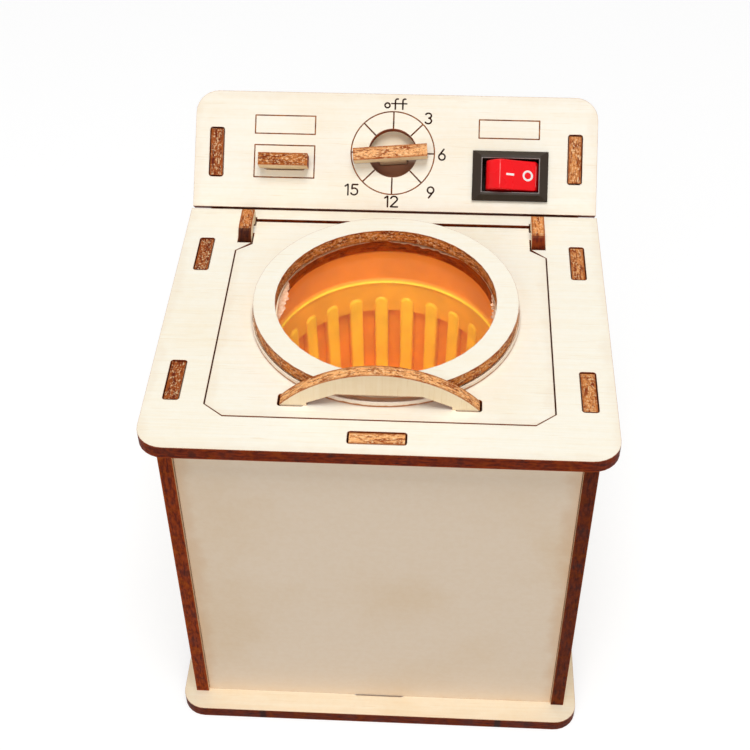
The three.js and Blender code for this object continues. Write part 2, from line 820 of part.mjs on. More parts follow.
function switchHousing() {
  const bezel = stackedRectangles([
    [bezelWidth, bezelHeight, seatGap],
    [bezelWidth, bezelHeight, seatGap + bezelLip],
    [bezelCrestWidth, bezelCrestHeight, seatGap + bezelRise],
  ]);
  const body = box(switchBodyWidth, switchBodyHeight, switchBodyDepth + seatGap + bezelLip)
    .translate(0, 0, -switchBodyDepth);
  const floor = rockerPivotDepth + rockerRadius * Math.sin(rockerTilt)
    + rockerFoot * Math.cos(rockerTilt) + rockerFloorGap;
  const mouth = box(bezelOpeningWidth, bezelOpeningHeight, seatGap + bezelRise + 2 * overrun)
    .translate(0, 0, -overrun);
  const well = box(wellWidth, bezelOpeningHeight, floor).translate(0, 0, -floor);
  const pinHole = drum(rockerPinRadius + seatGap, bezelOpeningHeight + 2 * rockerPinReach)
    .applyMatrix4(towardsFront)
    .translate(0, bezelOpeningHeight / 2 + rockerPinReach, -rockerPivotDepth);
  const tagSlots = [-1, 1].map((side) => tagSlot(switchTagWidth)
    .translate(side * switchTagSpread / 2, 0, -switchBodyDepth));
  const housing = cut(joined(bezel, body), mouth, well, pinHole, ...tagSlots);
  return piece('switch_housing', housing, blackPlastic);
}

// Its ends are arcs about the pivot, so that they pass the frame at one distance
function switchRocker() {
  const topAngle = Math.acos(rockerHalfTop / rockerRadius);
  const footAngle = -Math.asin(rockerFoot / rockerRadius);
  const crest = rockerRadius * Math.sin(topAngle);
  const dish = Array.from({ length: outlineCornerSteps }, (_, step) => {
    const share = (2 * (step + 1)) / (outlineCornerSteps + 1) - 1;
    return at(-share * rockerHalfTop, crest - rockerDish * (1 - share ** 2));
  });
  const outline = [
    ...arc(at(0, 0), rockerRadius, footAngle, topAngle, outlineCornerSteps),
    ...dish,
    ...arc(at(0, 0), rockerRadius, Math.PI - topAngle, Math.PI - footAngle, outlineCornerSteps),
  ];
  const pinLength = bezelOpeningHeight + 2 * rockerPinReach - 2 * seatGap;
  const body = extrude(outline, [], rockerWidth)
    .applyMatrix4(towardsFront)
    .translate(0, rockerWidth / 2, 0);
  const pin = drum(rockerPinRadius, pinLength, roundSteps / 2)
    .applyMatrix4(towardsFront)
    .translate(0, pinLength / 2, 0);
  const rocker = piece('switch_rocker', joined(body, pin), redPlastic, 0, 0, -rockerPivotDepth);
  rocker.rotation.y = rockerTilt;
  return rocker;
}

function rockerSwitch() {
  const group = new THREE.Group();
  group.position.set(switchAcross, switchUp, 0);
  const tag = box(tagThickness, switchTagWidth, switchTagLength + tagSeat - tagPlay);
  const tagBottom = -switchBodyDepth - switchTagLength;
  group.add(
    switchHousing(),
    switchRocker(),
    piece('switch_tag_inner', tag, brass, -switchTagSpread / 2, 0, tagBottom),
    piece('switch_tag_outer', tag, brass, switchTagSpread / 2, 0, tagBottom));
  return group;
}

function consoleAssembly() {
  const group = new THREE.Group();
  group.position.set(0, consoleFoot, consoleSill);
  group.rotation.x = Math.PI / 2 - consoleLean;
  group.add(consolePanel(), timer(), drawerPull(), rockerSwitch());
  return group;
}

// How far the tub's inside lies from its axis: a smooth band, ribs with round tops that stand in
// from it, and flat-topped gaps between them that go back into the wall. All of it tapers.
function tubBore(angle, height) {
  const turn = ((angle * ribCount) / (2 * Math.PI)) % 1 - 1 / 2;
  const across = turn * ribPitch;
  const taper = tubTaper * Math.max(0, gapTop - height) / (gapTop - ribFoot);
  const domeFoot = ribTop - ribHalfWidth;
  const distance = Math.hypot(across, Math.max(0, height - domeFoot)) / ribHalfWidth;
  if (distance < 1) {
    return bandBore - taper - (bandBore - ribFaceBore) * Math.sqrt(1 - distance ** 4);
  }
  const gapAcross = ribPitch / 2 - Math.abs(across);
  const inGap = height < gapTop && height >= ribFoot && gapAcross <= gapHalfWidth;
  return (inGap ? gapBore : bandBore) - taper;
}

// Angles of one rib and half a gap on each side, as shares of the pitch
function ribColumnShares() {
  const gapSide = 1 / 2 - gapWidthShare / 2;
  const gapIn = gapSide + gapEdge / ribPitch;
  const ribSide = ribWidthShare / 2;
  const half = [gapIn, gapSide, ribSide * ribCrownShare, ribSide * ribFlankShare];
  return [...half.map((share) => -share), 0, ...half.reverse()].map((share) => share + 1 / 2);
}

// The tub's inside as a closed solid, ring by ring from above the rim down to the floor
function tubInside() {
  const rows = [
    [tubRim + overrun, () => tubUpperBore],
    [ledgeHeight + ledgeRound, () => tubUpperBore],
    [ledgeHeight + ledgeRound / 4, () => tubUpperBore - ledgeRound / 2],
    [ledgeHeight, () => tubUpperBore - ledgeRound - ledgeRound / 2],
    [ledgeHeight, () => ledgeBore + ledgeRound / 2],
    [ledgeHeight - ledgeRound / 2, () => ledgeBore],
    [ribTop, () => bandBore],
  ];
  for (const share of domeShares) {
    const height = ribTop - ribHalfWidth * share;
    rows.push([height, (angle) => tubBore(angle, height)]);
  }
  rows.push([gapTop, (angle) => tubBore(angle, gapTop)]);
  rows.push([gapTop - gapEdge, (angle) => tubBore(angle, gapTop - gapEdge)]);
  rows.push([ribFoot, (angle) => tubBore(angle, ribFoot)]);
  rows.push([ribFoot - gapEdge, () => bandBore - tubTaper]);
  const floor = tubBottom + tubFloor;
  rows.push([floor + floorRound / 4, () => bandBore - tubTaper - floorRound / 4]);
  rows.push([floor, () => bandBore - tubTaper - floorRound]);
  return ringsToSolid(rows, tubColumnAngles());
}

function tubColumnAngles() {
  const shares = ribColumnShares();
  const angles = [];
  for (let rib = 0; rib < ribCount; rib += 1) {
    for (const share of shares) angles.push(((rib + share) * 2 * Math.PI) / ribCount);
  }
  return angles;
}

// Skin a stack of rings, given from the top down, and close both ends
function ringsToSolid(rows, angles) {
  const points = [];
  for (const [height, bore] of rows) {
    for (const angle of angles) {
      points.push(bore(angle) * Math.cos(angle), bore(angle) * Math.sin(angle), height);
    }
  }
  const count = angles.length;
  const index = [];
  for (let row = 0; row < rows.length - 1; row += 1) {
    for (let column = 0; column < count; column += 1) {
      const a = row * count + column;
      const b = row * count + ((column + 1) % count);
      index.push(a, a + count, b + count, a, b + count, b);
    }
  }
  const top = points.length / 3;
  points.push(0, 0, rows[0][0], 0, 0, rows[rows.length - 1][0]);
  for (let column = 0; column < count; column += 1) {
    const next = (column + 1) % count;
    const lastRow = (rows.length - 1) * count;
    index.push(top, column, next, top + 1, lastRow + next, lastRow + column);
  }
  const geometry = new THREE.BufferGeometry();
  geometry.setAttribute('position', new THREE.Float32BufferAttribute(points, 3));
  geometry.setIndex(index);
  return geometry;
}

function washTub() {
  const outer = gapBore + tubWall;
  const footOuter = outer - tubTaper;
  const rimOuter = tubUpperBore + tubRimReach;
  const profile = [
    at(0, tubBottom),
    at(footOuter - floorRound, tubBottom),
    at(footOuter - floorRound / 4, tubBottom + floorRound / 4),
    at(footOuter, tubBottom + floorRound),
    at(outer, gapTop),
    at(outer, tubRim - tubRimDepth),
    at(rimOuter, tubRim - tubRimDepth),
    at(rimOuter, tubRim - tubRimDepth / 3),
    at(rimOuter - tubRimDepth / 3, tubRim),
    at(0, tubRim),
  ];
  const hole = drum(hubBossRadius + hubHoleGap, tubFloor + 2 * overrun)
    .translate(0, 0, tubBottom - overrun);
  const tub = cut(revolve(profile, tubOuterSteps), tubInside(), hole);
  const mesh = piece('wash_tub', tub, orangePlastic, 0, tubPlace, 0);
  mesh.rotation.z = (ribTurnShare * 2 * Math.PI) / ribCount;
  return mesh;
}

function tubHub() {
  const bottom = tubBottom - hubFlangeThickness;
  const bore = shaftRadius + shaftPressGap;
  const top = hubBlindEnd + hubCap;
  const profile = [
    at(0, hubBlindEnd),
    at(bore, hubBlindEnd),
    at(bore, bottom),
    at(hubFlangeRadius, bottom),
    at(hubFlangeRadius, tubBottom),
    at(hubBossRadius, tubBottom),
    at(hubBossRadius, top),
    at(0, top),
  ];
  return piece('tub_hub', revolve(profile), whitePlastic, 0, tubPlace, 0);
}

function motor() {
  const group = new THREE.Group();
  group.position.set(0, tubPlace, motorFace);
  const can = flatSheet(motorOutline(0), [], motorCanLength).translate(0, 0, -motorCanLength);
  const boss = drum(motorBossRadius, motorBossHeight + motorCanCorner).translate(0, 0, -motorCanCorner);
  const bearing = drum(shaftRadius + shaftRunningGap, shaftRoot + motorBossHeight + overrun)
    .translate(0, 0, -shaftRoot);
  group.add(piece('motor_can', cut(joined(can, boss), bearing), steel));
  const capSlots = [-1, 1].map((side) => tagSlot(motorTagWidth)
    .translate(side * motorTagSpread / 2, 0, 0));
  const cap = cut(flatSheet(motorOutline(-motorCanCorner), [], motorCapLength), ...capSlots);
  const capBottom = -motorCanLength - motorCapLength;
  group.add(piece('motor_end_cap', cap, whitePlastic, 0, 0, capBottom));
  const shaftBottom = seatGap - shaftRoot;
  group.add(piece('motor_shaft', drum(shaftRadius, shaftReach - shaftBottom), steel, 0, 0, shaftBottom));
  const tag = box(tagThickness, motorTagWidth, motorTagLength + tagSeat - tagPlay);
  group.add(
    piece('motor_tag_left', tag, brass, -motorTagSpread / 2, 0, capBottom - motorTagLength),
    piece('motor_tag_right', tag, brass, motorTagSpread / 2, 0, capBottom - motorTagLength));
  return group;
}

function batteryBox() {
  const shell = box(boxLength, boxWidth, boxHeight);
  const well = box(boxLength - 2 * boxWall, boxWidth - 2 * boxWall, boxHeight).translate(0, 0, boxWall);
  const screwHole = drum(screwRadius + screwPlay, boxWall + 2 * overrun, roundSteps / 2);
  const screwHoles = [-1, 1].map((side) => screwHole.clone().translate(side * screwPlace, 0, -overrun));
  return piece('battery_box', cut(shell, well, ...screwHoles), blackPlastic);
}

// A cell lying along X with its nub towards +X
function cell() {
  const half = cellBody / 2;
  const edge = cellNub / 2;
  const profile = [
    at(0, -half),
    at(cellRadius - edge, -half),
    at(cellRadius, edge - half),
    at(cellRadius, half - edge),
    at(cellRadius - edge, half),
    at(cellNubRadius, half),
    at(cellNubRadius, half + cellNub),
    at(0, half + cellNub),
  ];
  return revolve(profile).rotateY(Math.PI / 2);
}

// A spring that narrows towards the cell
class ConeSpring extends THREE.Curve {
  getPoint(share, target = new THREE.Vector3()) {
    const angle = share * springTurns * 2 * Math.PI;
    const radius = springWide + (springNarrow - springWide) * share;
    return target.set(share * springLength, radius * Math.cos(angle), radius * Math.sin(angle));
  }
}

// The least gap between two turns, measured on points a turn or more apart
function leastTurnGap(curve) {
  const points = curve.getPoints(springTurns * springChecksPerTurn);
  let least = Infinity;
  for (let i = 0; i < points.length; i += 1) {
    for (let j = i + springChecksPerTurn / 2; j < points.length; j += 1) {
      least = Math.min(least, points[i].distanceTo(points[j]) - 2 * springWire);
    }
  }
  return least;
}

function coneSpring() {
  const curve = new ConeSpring();
  console.log(`cell spring, least gap between turns: ${leastTurnGap(curve).toFixed(2)} mm`);
  return tubeAlong(curve, springWire, springSides, springTurns * springStepsPerTurn);
}

function tubeAlong(curve, radius, sides, steps) {
  const section = new THREE.Shape(circle(at(0, 0), radius, sides));
  return new THREE.ExtrudeGeometry(section, { steps, bevelEnabled: false, extrudePath: curve });
}

function batteryPack() {
  const group = new THREE.Group();
  group.position.set(0, boxMiddle, ply);
  const inside = boxLength / 2 - boxWall;
  const cellHeight = boxWall + cellGap + cellRadius;
  const contactBottom = boxWall + cellGap;
  const contact = (width) => box(contactThickness, width, contactHeight);
  const face = inside - contactThickness;
  const contactPlace = inside - contactThickness / 2;
  const row = cellSpacing / 2;
  const nubTip = face - seatGap;
  const cellMiddle = nubTip - cellNub - cellBody / 2;
  group.add(batteryBox());
  for (const [name, side] of [['front', -1], ['back', 1]]) {
    const turned = new THREE.Group();
    turned.position.set(0, side * row, 0);
    turned.rotation.z = side < 0 ? 0 : Math.PI;
    turned.add(piece(`cell_${name}`, cell(), cellJacket, cellMiddle, 0, cellHeight));
    const springStart = -face + seatGap + springWire;
    turned.add(piece(`cell_spring_${name}`, coneSpring(), steel, springStart, 0, cellHeight));
    group.add(turned);
  }
  group.add(
    piece('contact_bridge', contact(cellSpacing + contactWidth), brass, -contactPlace, 0, contactBottom),
    piece('contact_front', contact(contactWidth), brass, contactPlace, -row, contactBottom),
    piece('contact_back', contact(contactWidth), brass, contactPlace, row, contactBottom));
  for (const [name, side] of [['left', -1], ['right', 1]]) {
    group.add(piece(`box_screw_${name}`, screw(), steel, side * screwPlace, 0, boxWall));
  }
  return group;
}

function screw() {
  return revolve([
    at(0, -boxWall - screwBite),
    at(screwRadius, -boxWall - screwBite + screwRadius),
    at(screwRadius, 0),
    at(screwHeadRadius, 0),
    at(screwHeadRadius, screwHeadHeight / 2),
    at(screwHeadRadius / 2, screwHeadHeight),
    at(0, screwHeadHeight),
  ], roundSteps / 2);
}

// Wires: from a cell contact up to the switch, down from it to the motor, and back to the other
// contact. Points are depths from the front edge of the top panel, as everywhere here.
const supplyRoute = [
  [26.8, 70.2, 16.6], [26.8, 70.2, 18.6], [27.3, 70.7, 21], [28.8, 71.8, 26], [29.6, 74, 36],
  [28, 76.5, 48], [22.8, 77, 57], [19.6, 77.4, 63], [19.25, 78.6, 67.2], [19.25, 80.6, 68.9],
  [19.25, 81.9, 70.9],
];
const switchedRoute = [
  [26.85, 81.9, 70.9], [26.85, 80.6, 68.9], [26.9, 78.6, 67.2], [27.2, 77.3, 63], [29.6, 76.8, 56],
  [31.6, 76.4, 46], [32.6, 74.6, 32], [32.7, 68, 18], [32.7, 56, 8], [31.4, 46, 4.9],
  [24, 37, 4.6], [12, 35.2, 5], [6.1, 35.2, 5.2],
];
const returnRoute = [
  [-6.1, 35.2, 5.2], [-10.5, 35.7, 5.1], [-13.4, 39.6, 4.8], [-8, 44.2, 4.6], [6, 44.9, 4.6],
  [22, 45.4, 5.2], [28, 45.9, 8.6], [28.9, 45.9, 14.6], [28.9, 46, 18.2], [28.6, 48.2, 20.8],
  [27.6, 52.4, 21], [26.8, 55.4, 19.3], [26.8, 55.8, 16.6],
];

function wire(name, route, material) {
  const points = route.map((point) => new THREE.Vector3(...point));
  const path = new THREE.CatmullRomCurve3(points, false, 'centripetal');
  return piece(name, tubeAlong(path, wireRadius, wireSides, wireSteps), material);
}

const machine = new THREE.Group();
machine.position.y = -(baseFront + baseBack) / 2;
machine.add(
  basePlate(),
  sidePanel('left_side_panel', -1),
  sidePanel('right_side_panel', 1),
  frontPanel(),
  backPanel(),
  topPanel(),
  tubDeck(),
  motorPlate(),
  motorCradle(),
  hingeRail('left_hinge_rail', -1),
  hingeRail('right_hinge_rail', 1),
  lidPanel(),
  lidWindow(),
  lidRing(),
  lidHandle(),
  consoleAssembly(),
  washTub(),
  tubHub(),
  motor(),
  batteryPack(),
  wire('supply_wire', supplyRoute, redWire),
  wire('switched_wire', switchedRoute, redWire),
  wire('return_wire', returnRoute, blackWire));

export default machine;
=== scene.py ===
"""Looks of a plywood model of a top-loading washing machine.

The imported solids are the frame: every sheet of plywood, the switch and the works inside stay where the
solids have them. This script gives each of them its finish, and makes the pieces whose form needs more
than a plain solid: the ribbed tub, the switch's rocker, the burnt drawing on the console, the glue under
the window, the cells, the springs and the wires.

Lengths in the classes are in millimetres and depths are counted from the front edge of the top panel,
as a ruler laid on the model would give them. place() turns them into the frame's metres.
"""
import logging
import math
from dataclasses import dataclass, field
from enum import Enum

import bmesh
import bpy
import numpy as np
from mathutils import Matrix, Vector


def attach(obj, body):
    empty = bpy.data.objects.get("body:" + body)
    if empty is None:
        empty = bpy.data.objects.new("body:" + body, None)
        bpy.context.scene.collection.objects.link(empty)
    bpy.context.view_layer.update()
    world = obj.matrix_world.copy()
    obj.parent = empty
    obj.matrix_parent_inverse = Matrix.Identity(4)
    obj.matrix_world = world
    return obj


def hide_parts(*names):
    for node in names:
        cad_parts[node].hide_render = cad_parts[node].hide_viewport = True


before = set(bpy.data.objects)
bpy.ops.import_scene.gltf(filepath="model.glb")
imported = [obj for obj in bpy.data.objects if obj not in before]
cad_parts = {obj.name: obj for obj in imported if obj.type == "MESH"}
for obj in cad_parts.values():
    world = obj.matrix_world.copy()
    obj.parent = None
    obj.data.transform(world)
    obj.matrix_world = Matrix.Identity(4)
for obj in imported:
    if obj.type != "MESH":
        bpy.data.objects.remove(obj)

LOG = logging.getLogger("washing_machine")
MM = 0.001
SETBACK = 41.6  # how far the middle of the base lies behind the front edge of the top panel
CASE_HEIGHT = 76.1  # how far the top panel's upper face lies over the table
FULL_TURN, QUARTER_TURN = 2.0 * np.pi, np.pi / 2.0
SAME_SPOT, NO_AREA = 1e-7, 1e-8  # metres between points that are one, and sides of a face without area

Piece, Material = bpy.types.Object, bpy.types.Material
Tree, Node, Socket = bpy.types.NodeTree, bpy.types.Node, bpy.types.NodeSocket
Spot = tuple[float, float, float]
FlatSpot = tuple[float, float]


# Places and shapes


def place(points: np.ndarray) -> np.ndarray:
    """Turn millimetres, with the depth from the top panel's front edge, into metres in the frame."""
    return (np.asarray(points, dtype=float) - np.array([0.0, SETBACK, 0.0])) * MM


def circle(steps: int) -> np.ndarray:
    """Angles of points evenly round a circle."""
    return np.linspace(0.0, FULL_TURN, steps, endpoint=False)


def quarter(steps: int) -> np.ndarray:
    """Angles of points from nought to a quarter turn."""
    return np.linspace(0.0, QUARTER_TURN, steps)


def unit(vectors: np.ndarray) -> np.ndarray:
    """Bring each vector to the length one."""
    return vectors / np.linalg.norm(vectors, axis=-1, keepdims=True)


def pairs(first: np.ndarray, second: np.ndarray) -> np.ndarray:
    """Join two arrays of values to one of flat points."""
    return np.stack([first, second], axis=-1)


def left_of(path: np.ndarray, closed: bool) -> np.ndarray:
    """Directions to the left of a flat path: the way to the next point, turned by a quarter.

    Args:
        path: flat points.
        closed: whether the path ends where it starts.

    Returns:
        A direction of length one for each point.
    """
    step = np.roll(path, -1, 0) - np.roll(path, 1, 0) if closed else np.gradient(path, axis=0)
    step = unit(step)
    return pairs(-step[:, 1], step[:, 0])


def oval(centre: FlatSpot, size: FlatSpot, angle: np.ndarray) -> np.ndarray:
    """Points of an ellipse: centre plus size times cosine and sine of the angle."""
    return pairs(centre[0] + size[0] * np.cos(angle), centre[1] + size[1] * np.sin(angle))


def arc(centre: FlatSpot, size: FlatSpot, start: float, end: float, steps: int = 24) -> np.ndarray:
    """Points of an ellipse's arc from a first to a last angle in degrees."""
    return oval(centre, size, np.radians(np.linspace(start, end, steps)))


def straight(start: FlatSpot, end: FlatSpot, steps: int = 12) -> np.ndarray:
    """Points on the straight line from start to end."""
    share = np.linspace(0.0, 1.0, steps)[:, None]
    return (1.0 - share) * np.array(start) + share * np.array(end)


def around(radius: np.ndarray, angle: np.ndarray, level: np.ndarray, depth: float) -> np.ndarray:
    """Points in the frame about an upright axis at a depth, each a radius, an angle and a level."""
    points = (radius * np.cos(angle), depth + radius * np.sin(angle), level)
    return place(np.stack(np.broadcast_arrays(*points), axis=-1))


def soft_corner(start: np.ndarray, corner: np.ndarray, end: np.ndarray) -> np.ndarray:
    """Round a corner by the curve (1-t)^2 start + 2t(1-t) corner + t^2 end, without its two ends."""
    t = np.linspace(0.0, 1.0, 8)[1:-1, None]
    return (1.0 - t) ** 2 * start + 2.0 * t * (1.0 - t) * corner + t ** 2 * end


def srgb(code: str) -> tuple[float, float, float, float]:
    """Turn a colour as a screen shows it into the linear values of a shader.

    Args:
        code: six hexadecimal digits after a hash sign.

    Returns:
        Red, green, blue and a full alpha.
    """
    shown = np.array([int(code[i:i + 2], 16) for i in (1, 3, 5)]) / 255.0
    linear = np.where(shown <= 0.04045, shown / 12.92, ((shown + 0.055) / 1.055) ** 2.4)
    return (float(linear[0]), float(linear[1]), float(linear[2]), 1.0)


@dataclass(frozen=True)
class Plane:
    """A flat frame of its own in space: an origin and three directions, in millimetres."""

    origin: Spot  # where its two axes cross
    across: Spot  # direction of the first axis
    up: Spot  # direction of the second axis
    out: Spot  # direction in which its face looks

    def points(self, across: np.ndarray, up: np.ndarray, out: np.ndarray) -> np.ndarray:
        """Place points given on the plane: origin + across * x + up * y + out * z.

        Args:
            across: distances along the first axis.
            up: distances along the second axis.
            out: distances off the face.

        Returns:
            Points in the frame, in metres.
        """
        across, up, out = np.broadcast_arrays(across, up, out)
        spot = np.array(self.origin) + across[..., None] * np.array(self.across)
        spot = spot + up[..., None] * np.array(self.up) + out[..., None] * np.array(self.out)
        return place(spot)

    def turned(self, at: FlatSpot, angle: float) -> "Plane":
        """Give a plane on the same face, moved to a spot and turned about its face's direction.

        Args:
            at: the new origin on this plane.
            angle: the turn in radians, counter-clockwise as seen from in front of the face.

        Returns:
            The turned plane.
        """
        across, up = np.array(self.across), np.array(self.up)
        origin = np.array(self.origin) + at[0] * across + at[1] * up
        cosine, sine = math.cos(angle), math.sin(angle)
        axes = (cosine * across + sine * up, cosine * up - sine * across)
        return Plane(tuple(origin), *map(tuple, axes), self.out)


LEAN = math.radians(45.5)
CONSOLE = Plane(
    origin=(0.0, 66.66, 76.4),
    across=(1.0, 0.0, 0.0),
    up=(0.0, math.sin(LEAN), math.cos(LEAN)),
    out=(0.0, -math.cos(LEAN), math.sin(LEAN)),
)
TIMER_TURN = math.radians(5.0)


class Facing(Enum):
    """The direction in which the veneer of a sheet looks."""

    FLAT = (0.0, 0.0, 1.0)
    SIDE = (1.0, 0.0, 0.0)
    UPRIGHT = (0.0, 1.0, 0.0)
    LEANING = CONSOLE.out
    PULL = CONSOLE.up
    POINTER = CONSOLE.turned((0.0, 0.0), TIMER_TURN).up


class Grain(Enum):
    """The direction in which the grain of a sheet's veneer runs."""

    ACROSS = (1.0, 0.0, 0.0)
    DEEP = (0.0, 1.0, 0.0)
    UPRIGHT = (0.0, 0.0, 1.0)

    def stretches(self) -> Spot:
        """Give how often the grain's pattern repeats: seldom along the grain, often across it."""
        along, across = 45.0, 1500.0
        return tuple(along if part else across for part in self.value)


class Body(Enum):
    """The moving bodies of the model."""

    CASE = "case"
    LID = "lid"
    ROCKER = "rocker"
    TIMER = "timer"
    TUB = "tub"


def grid_object(
    name: str, points: np.ndarray, wrap_columns: bool = False, wrap_rows: bool = False,
    crease: float = 35.0,
) -> Piece:
    """Make a surface from a grid of points.

    Each cell of the grid is a face. Its corners run along the row, up to the next row and back, so the
    face looks to the side that the product of the column and row directions gives. Points that fall on
    each other, as at a pole, are merged.

    Args:
        name: the piece's name.
        points: rows by columns by three, in metres.
        wrap_columns: whether the last column joins the first.
        wrap_rows: whether the last row joins the first.
        crease: the angle in degrees above which an edge stays sharp.

    Returns:
        The new object, at the origin.
    """
    rows, columns = points.shape[:2]
    row_steps = rows if wrap_rows else rows - 1
    column_steps = columns if wrap_columns else columns - 1
    row, column = np.meshgrid(np.arange(row_steps), np.arange(column_steps), indexing="ij")
    next_row, next_column = (row + 1) % rows, (column + 1) % columns
    faces = np.stack(
        [row * columns + column, row * columns + next_column,
         next_row * columns + next_column, next_row * columns + column], axis=-1).reshape(-1, 4)
    mesh = bpy.data.meshes.new(name)
    mesh.vertices.add(rows * columns)
    mesh.vertices.foreach_set("co", points.reshape(-1).astype(np.float32))
    mesh.loops.add(faces.size)
    mesh.loops.foreach_set("vertex_index", faces.reshape(-1).astype(np.int32))
    mesh.polygons.add(len(faces))
    mesh.polygons.foreach_set("loop_start", np.arange(0, faces.size, 4, dtype=np.int32))
    mesh.update(calc_edges=True)
    mesh.validate()
    return finish_mesh(name, mesh, crease)


def finish_mesh(name: str, mesh: bpy.types.Mesh, crease: float) -> Piece:
    """Merge a mesh's doubles, shade it smooth between its sharp edges and link it.

    Args:
        name: the piece's name.
        mesh: the mesh, in the frame's metres.
        crease: the angle in degrees above which an edge stays sharp.

    Returns:
        The object that shows the mesh.
    """
    work = bmesh.new()
    work.from_mesh(mesh)
    bmesh.ops.remove_doubles(work, verts=work.verts, dist=SAME_SPOT)
    bmesh.ops.dissolve_degenerate(work, edges=work.edges, dist=NO_AREA)
    work.to_mesh(mesh)
    work.free()
    mesh.shade_smooth()
    mesh.set_sharp_from_angle(angle=math.radians(crease))
    piece = bpy.data.objects.new(name, mesh)
    bpy.context.scene.collection.objects.link(piece)
    return piece


def outwards(piece: Piece) -> Piece:
    """Turn a piece's faces outwards.

    Args:
        piece: a closed piece.

    Returns:
        The same piece.
    """
    work = bmesh.new()
    work.from_mesh(piece.data)
    bmesh.ops.recalc_face_normals(work, faces=work.faces)
    work.to_mesh(piece.data)
    work.free()
    return piece


def merged(name: str, parts: list[Piece], crease: float = 35.0) -> Piece:
    """Join several objects into one piece.

    Args:
        name: the piece's name.
        parts: the objects, all at the origin.
        crease: the angle in degrees above which an edge stays sharp.

    Returns:
        The joined piece; the parts are gone.
    """
    work = bmesh.new()
    for part in parts:
        work.from_mesh(part.data)
    mesh = bpy.data.meshes.new(name)
    work.to_mesh(mesh)
    work.free()
    for part in parts:
        old = part.data
        bpy.data.objects.remove(part)
        bpy.data.meshes.remove(old)
    return finish_mesh(name, mesh, crease)


def tube(name: str, path: np.ndarray, radius: float, sides: int = 12) -> Piece:
    """Carry a circle along a path and close its two ends.

    At each point the circle stands square to the path. Its first direction is carried on from point to
    point with as little turn as possible, and the ends draw in to the path's own end points.

    Args:
        name: the piece's name.
        path: points of the path, in metres.
        radius: radius of the tube, in millimetres.
        sides: corners of the circle.

    Returns:
        The tube.
    """
    along = unit(np.gradient(path, axis=0))
    helper = np.array([0.0, 0.0, 1.0] if abs(along[0][2]) < 0.9 else [1.0, 0.0, 0.0])
    first = [unit(np.cross(along[0], helper))]
    for direction in along[1:]:
        first.append(unit(first[-1] - direction * float(first[-1] @ direction)))
    side = np.array(first)
    other = np.cross(along, side)
    cosine, sine = np.cos(circle(sides))[None, :, None], np.sin(circle(sides))[None, :, None]
    rings = path[:, None] + (side[:, None] * cosine + other[:, None] * sine) * radius * MM
    start, end = np.repeat(path[:1, None], sides, 1), np.repeat(path[-1:, None], sides, 1)
    return grid_object(name, np.concatenate([start, rings, end]), wrap_columns=True)


def smooth_path(spots: tuple[Spot, ...], steps: int) -> np.ndarray:
    """Draw a smooth curve through points, spacing its knots by the square root of their distance.

    Between two points the curve is the blend of three straight lines on each side, as in the curve that
    the solids follow, so the drawn wire covers its solid.

    Args:
        spots: points in millimetres.
        steps: points of the curve between two of them.

    Returns:
        The curve's points in metres.
    """
    known = place(np.array(spots))
    known = np.vstack([2 * known[0] - known[1], known, 2 * known[-1] - known[-2]])
    knots = np.concatenate([[0.0], np.cumsum(np.linalg.norm(np.diff(known, axis=0), axis=1) ** 0.5)])
    pieces = []
    for i in range(1, len(known) - 2):
        t = np.linspace(knots[i], knots[i + 1], steps, endpoint=i == len(known) - 3)[:, None]
        a = _between(t, knots[i - 1], knots[i], known[i - 1], known[i])
        b = _between(t, knots[i], knots[i + 1], known[i], known[i + 1])
        c = _between(t, knots[i + 1], knots[i + 2], known[i + 1], known[i + 2])
        left = _between(t, knots[i - 1], knots[i + 1], a, b)
        right = _between(t, knots[i], knots[i + 2], b, c)
        pieces.append(_between(t, knots[i], knots[i + 1], left, right))
    return np.concatenate(pieces)


def _between(t: np.ndarray, low: float, high: float, start: np.ndarray, end: np.ndarray) -> np.ndarray:
    """Blend from start at low to end at high, in a straight line of t."""
    return ((high - t) * start + (t - low) * end) / (high - low)


def turned_profile(name: str, profile: list[FlatSpot], centre: Spot, steps: int = 72) -> Piece:
    """Turn a profile about an axis that lies across: each point, a radius and a place, becomes a circle.

    Args:
        name: the piece's name.
        profile: radius and place in millimetres, from the axis at one end to the axis at the other.
        centre: where the axis and the place of nought meet, in millimetres.
        steps: points on each circle.

    Returns:
        The turned piece.
    """
    radius, along = np.array(profile).T[:, :, None]
    ring = (radius * np.cos(circle(steps)), radius * np.sin(circle(steps)))
    points = np.stack(np.broadcast_arrays(along, *ring), axis=-1) + np.array(centre)
    return grid_object(name, place(points), wrap_columns=True)


# Shader nodes


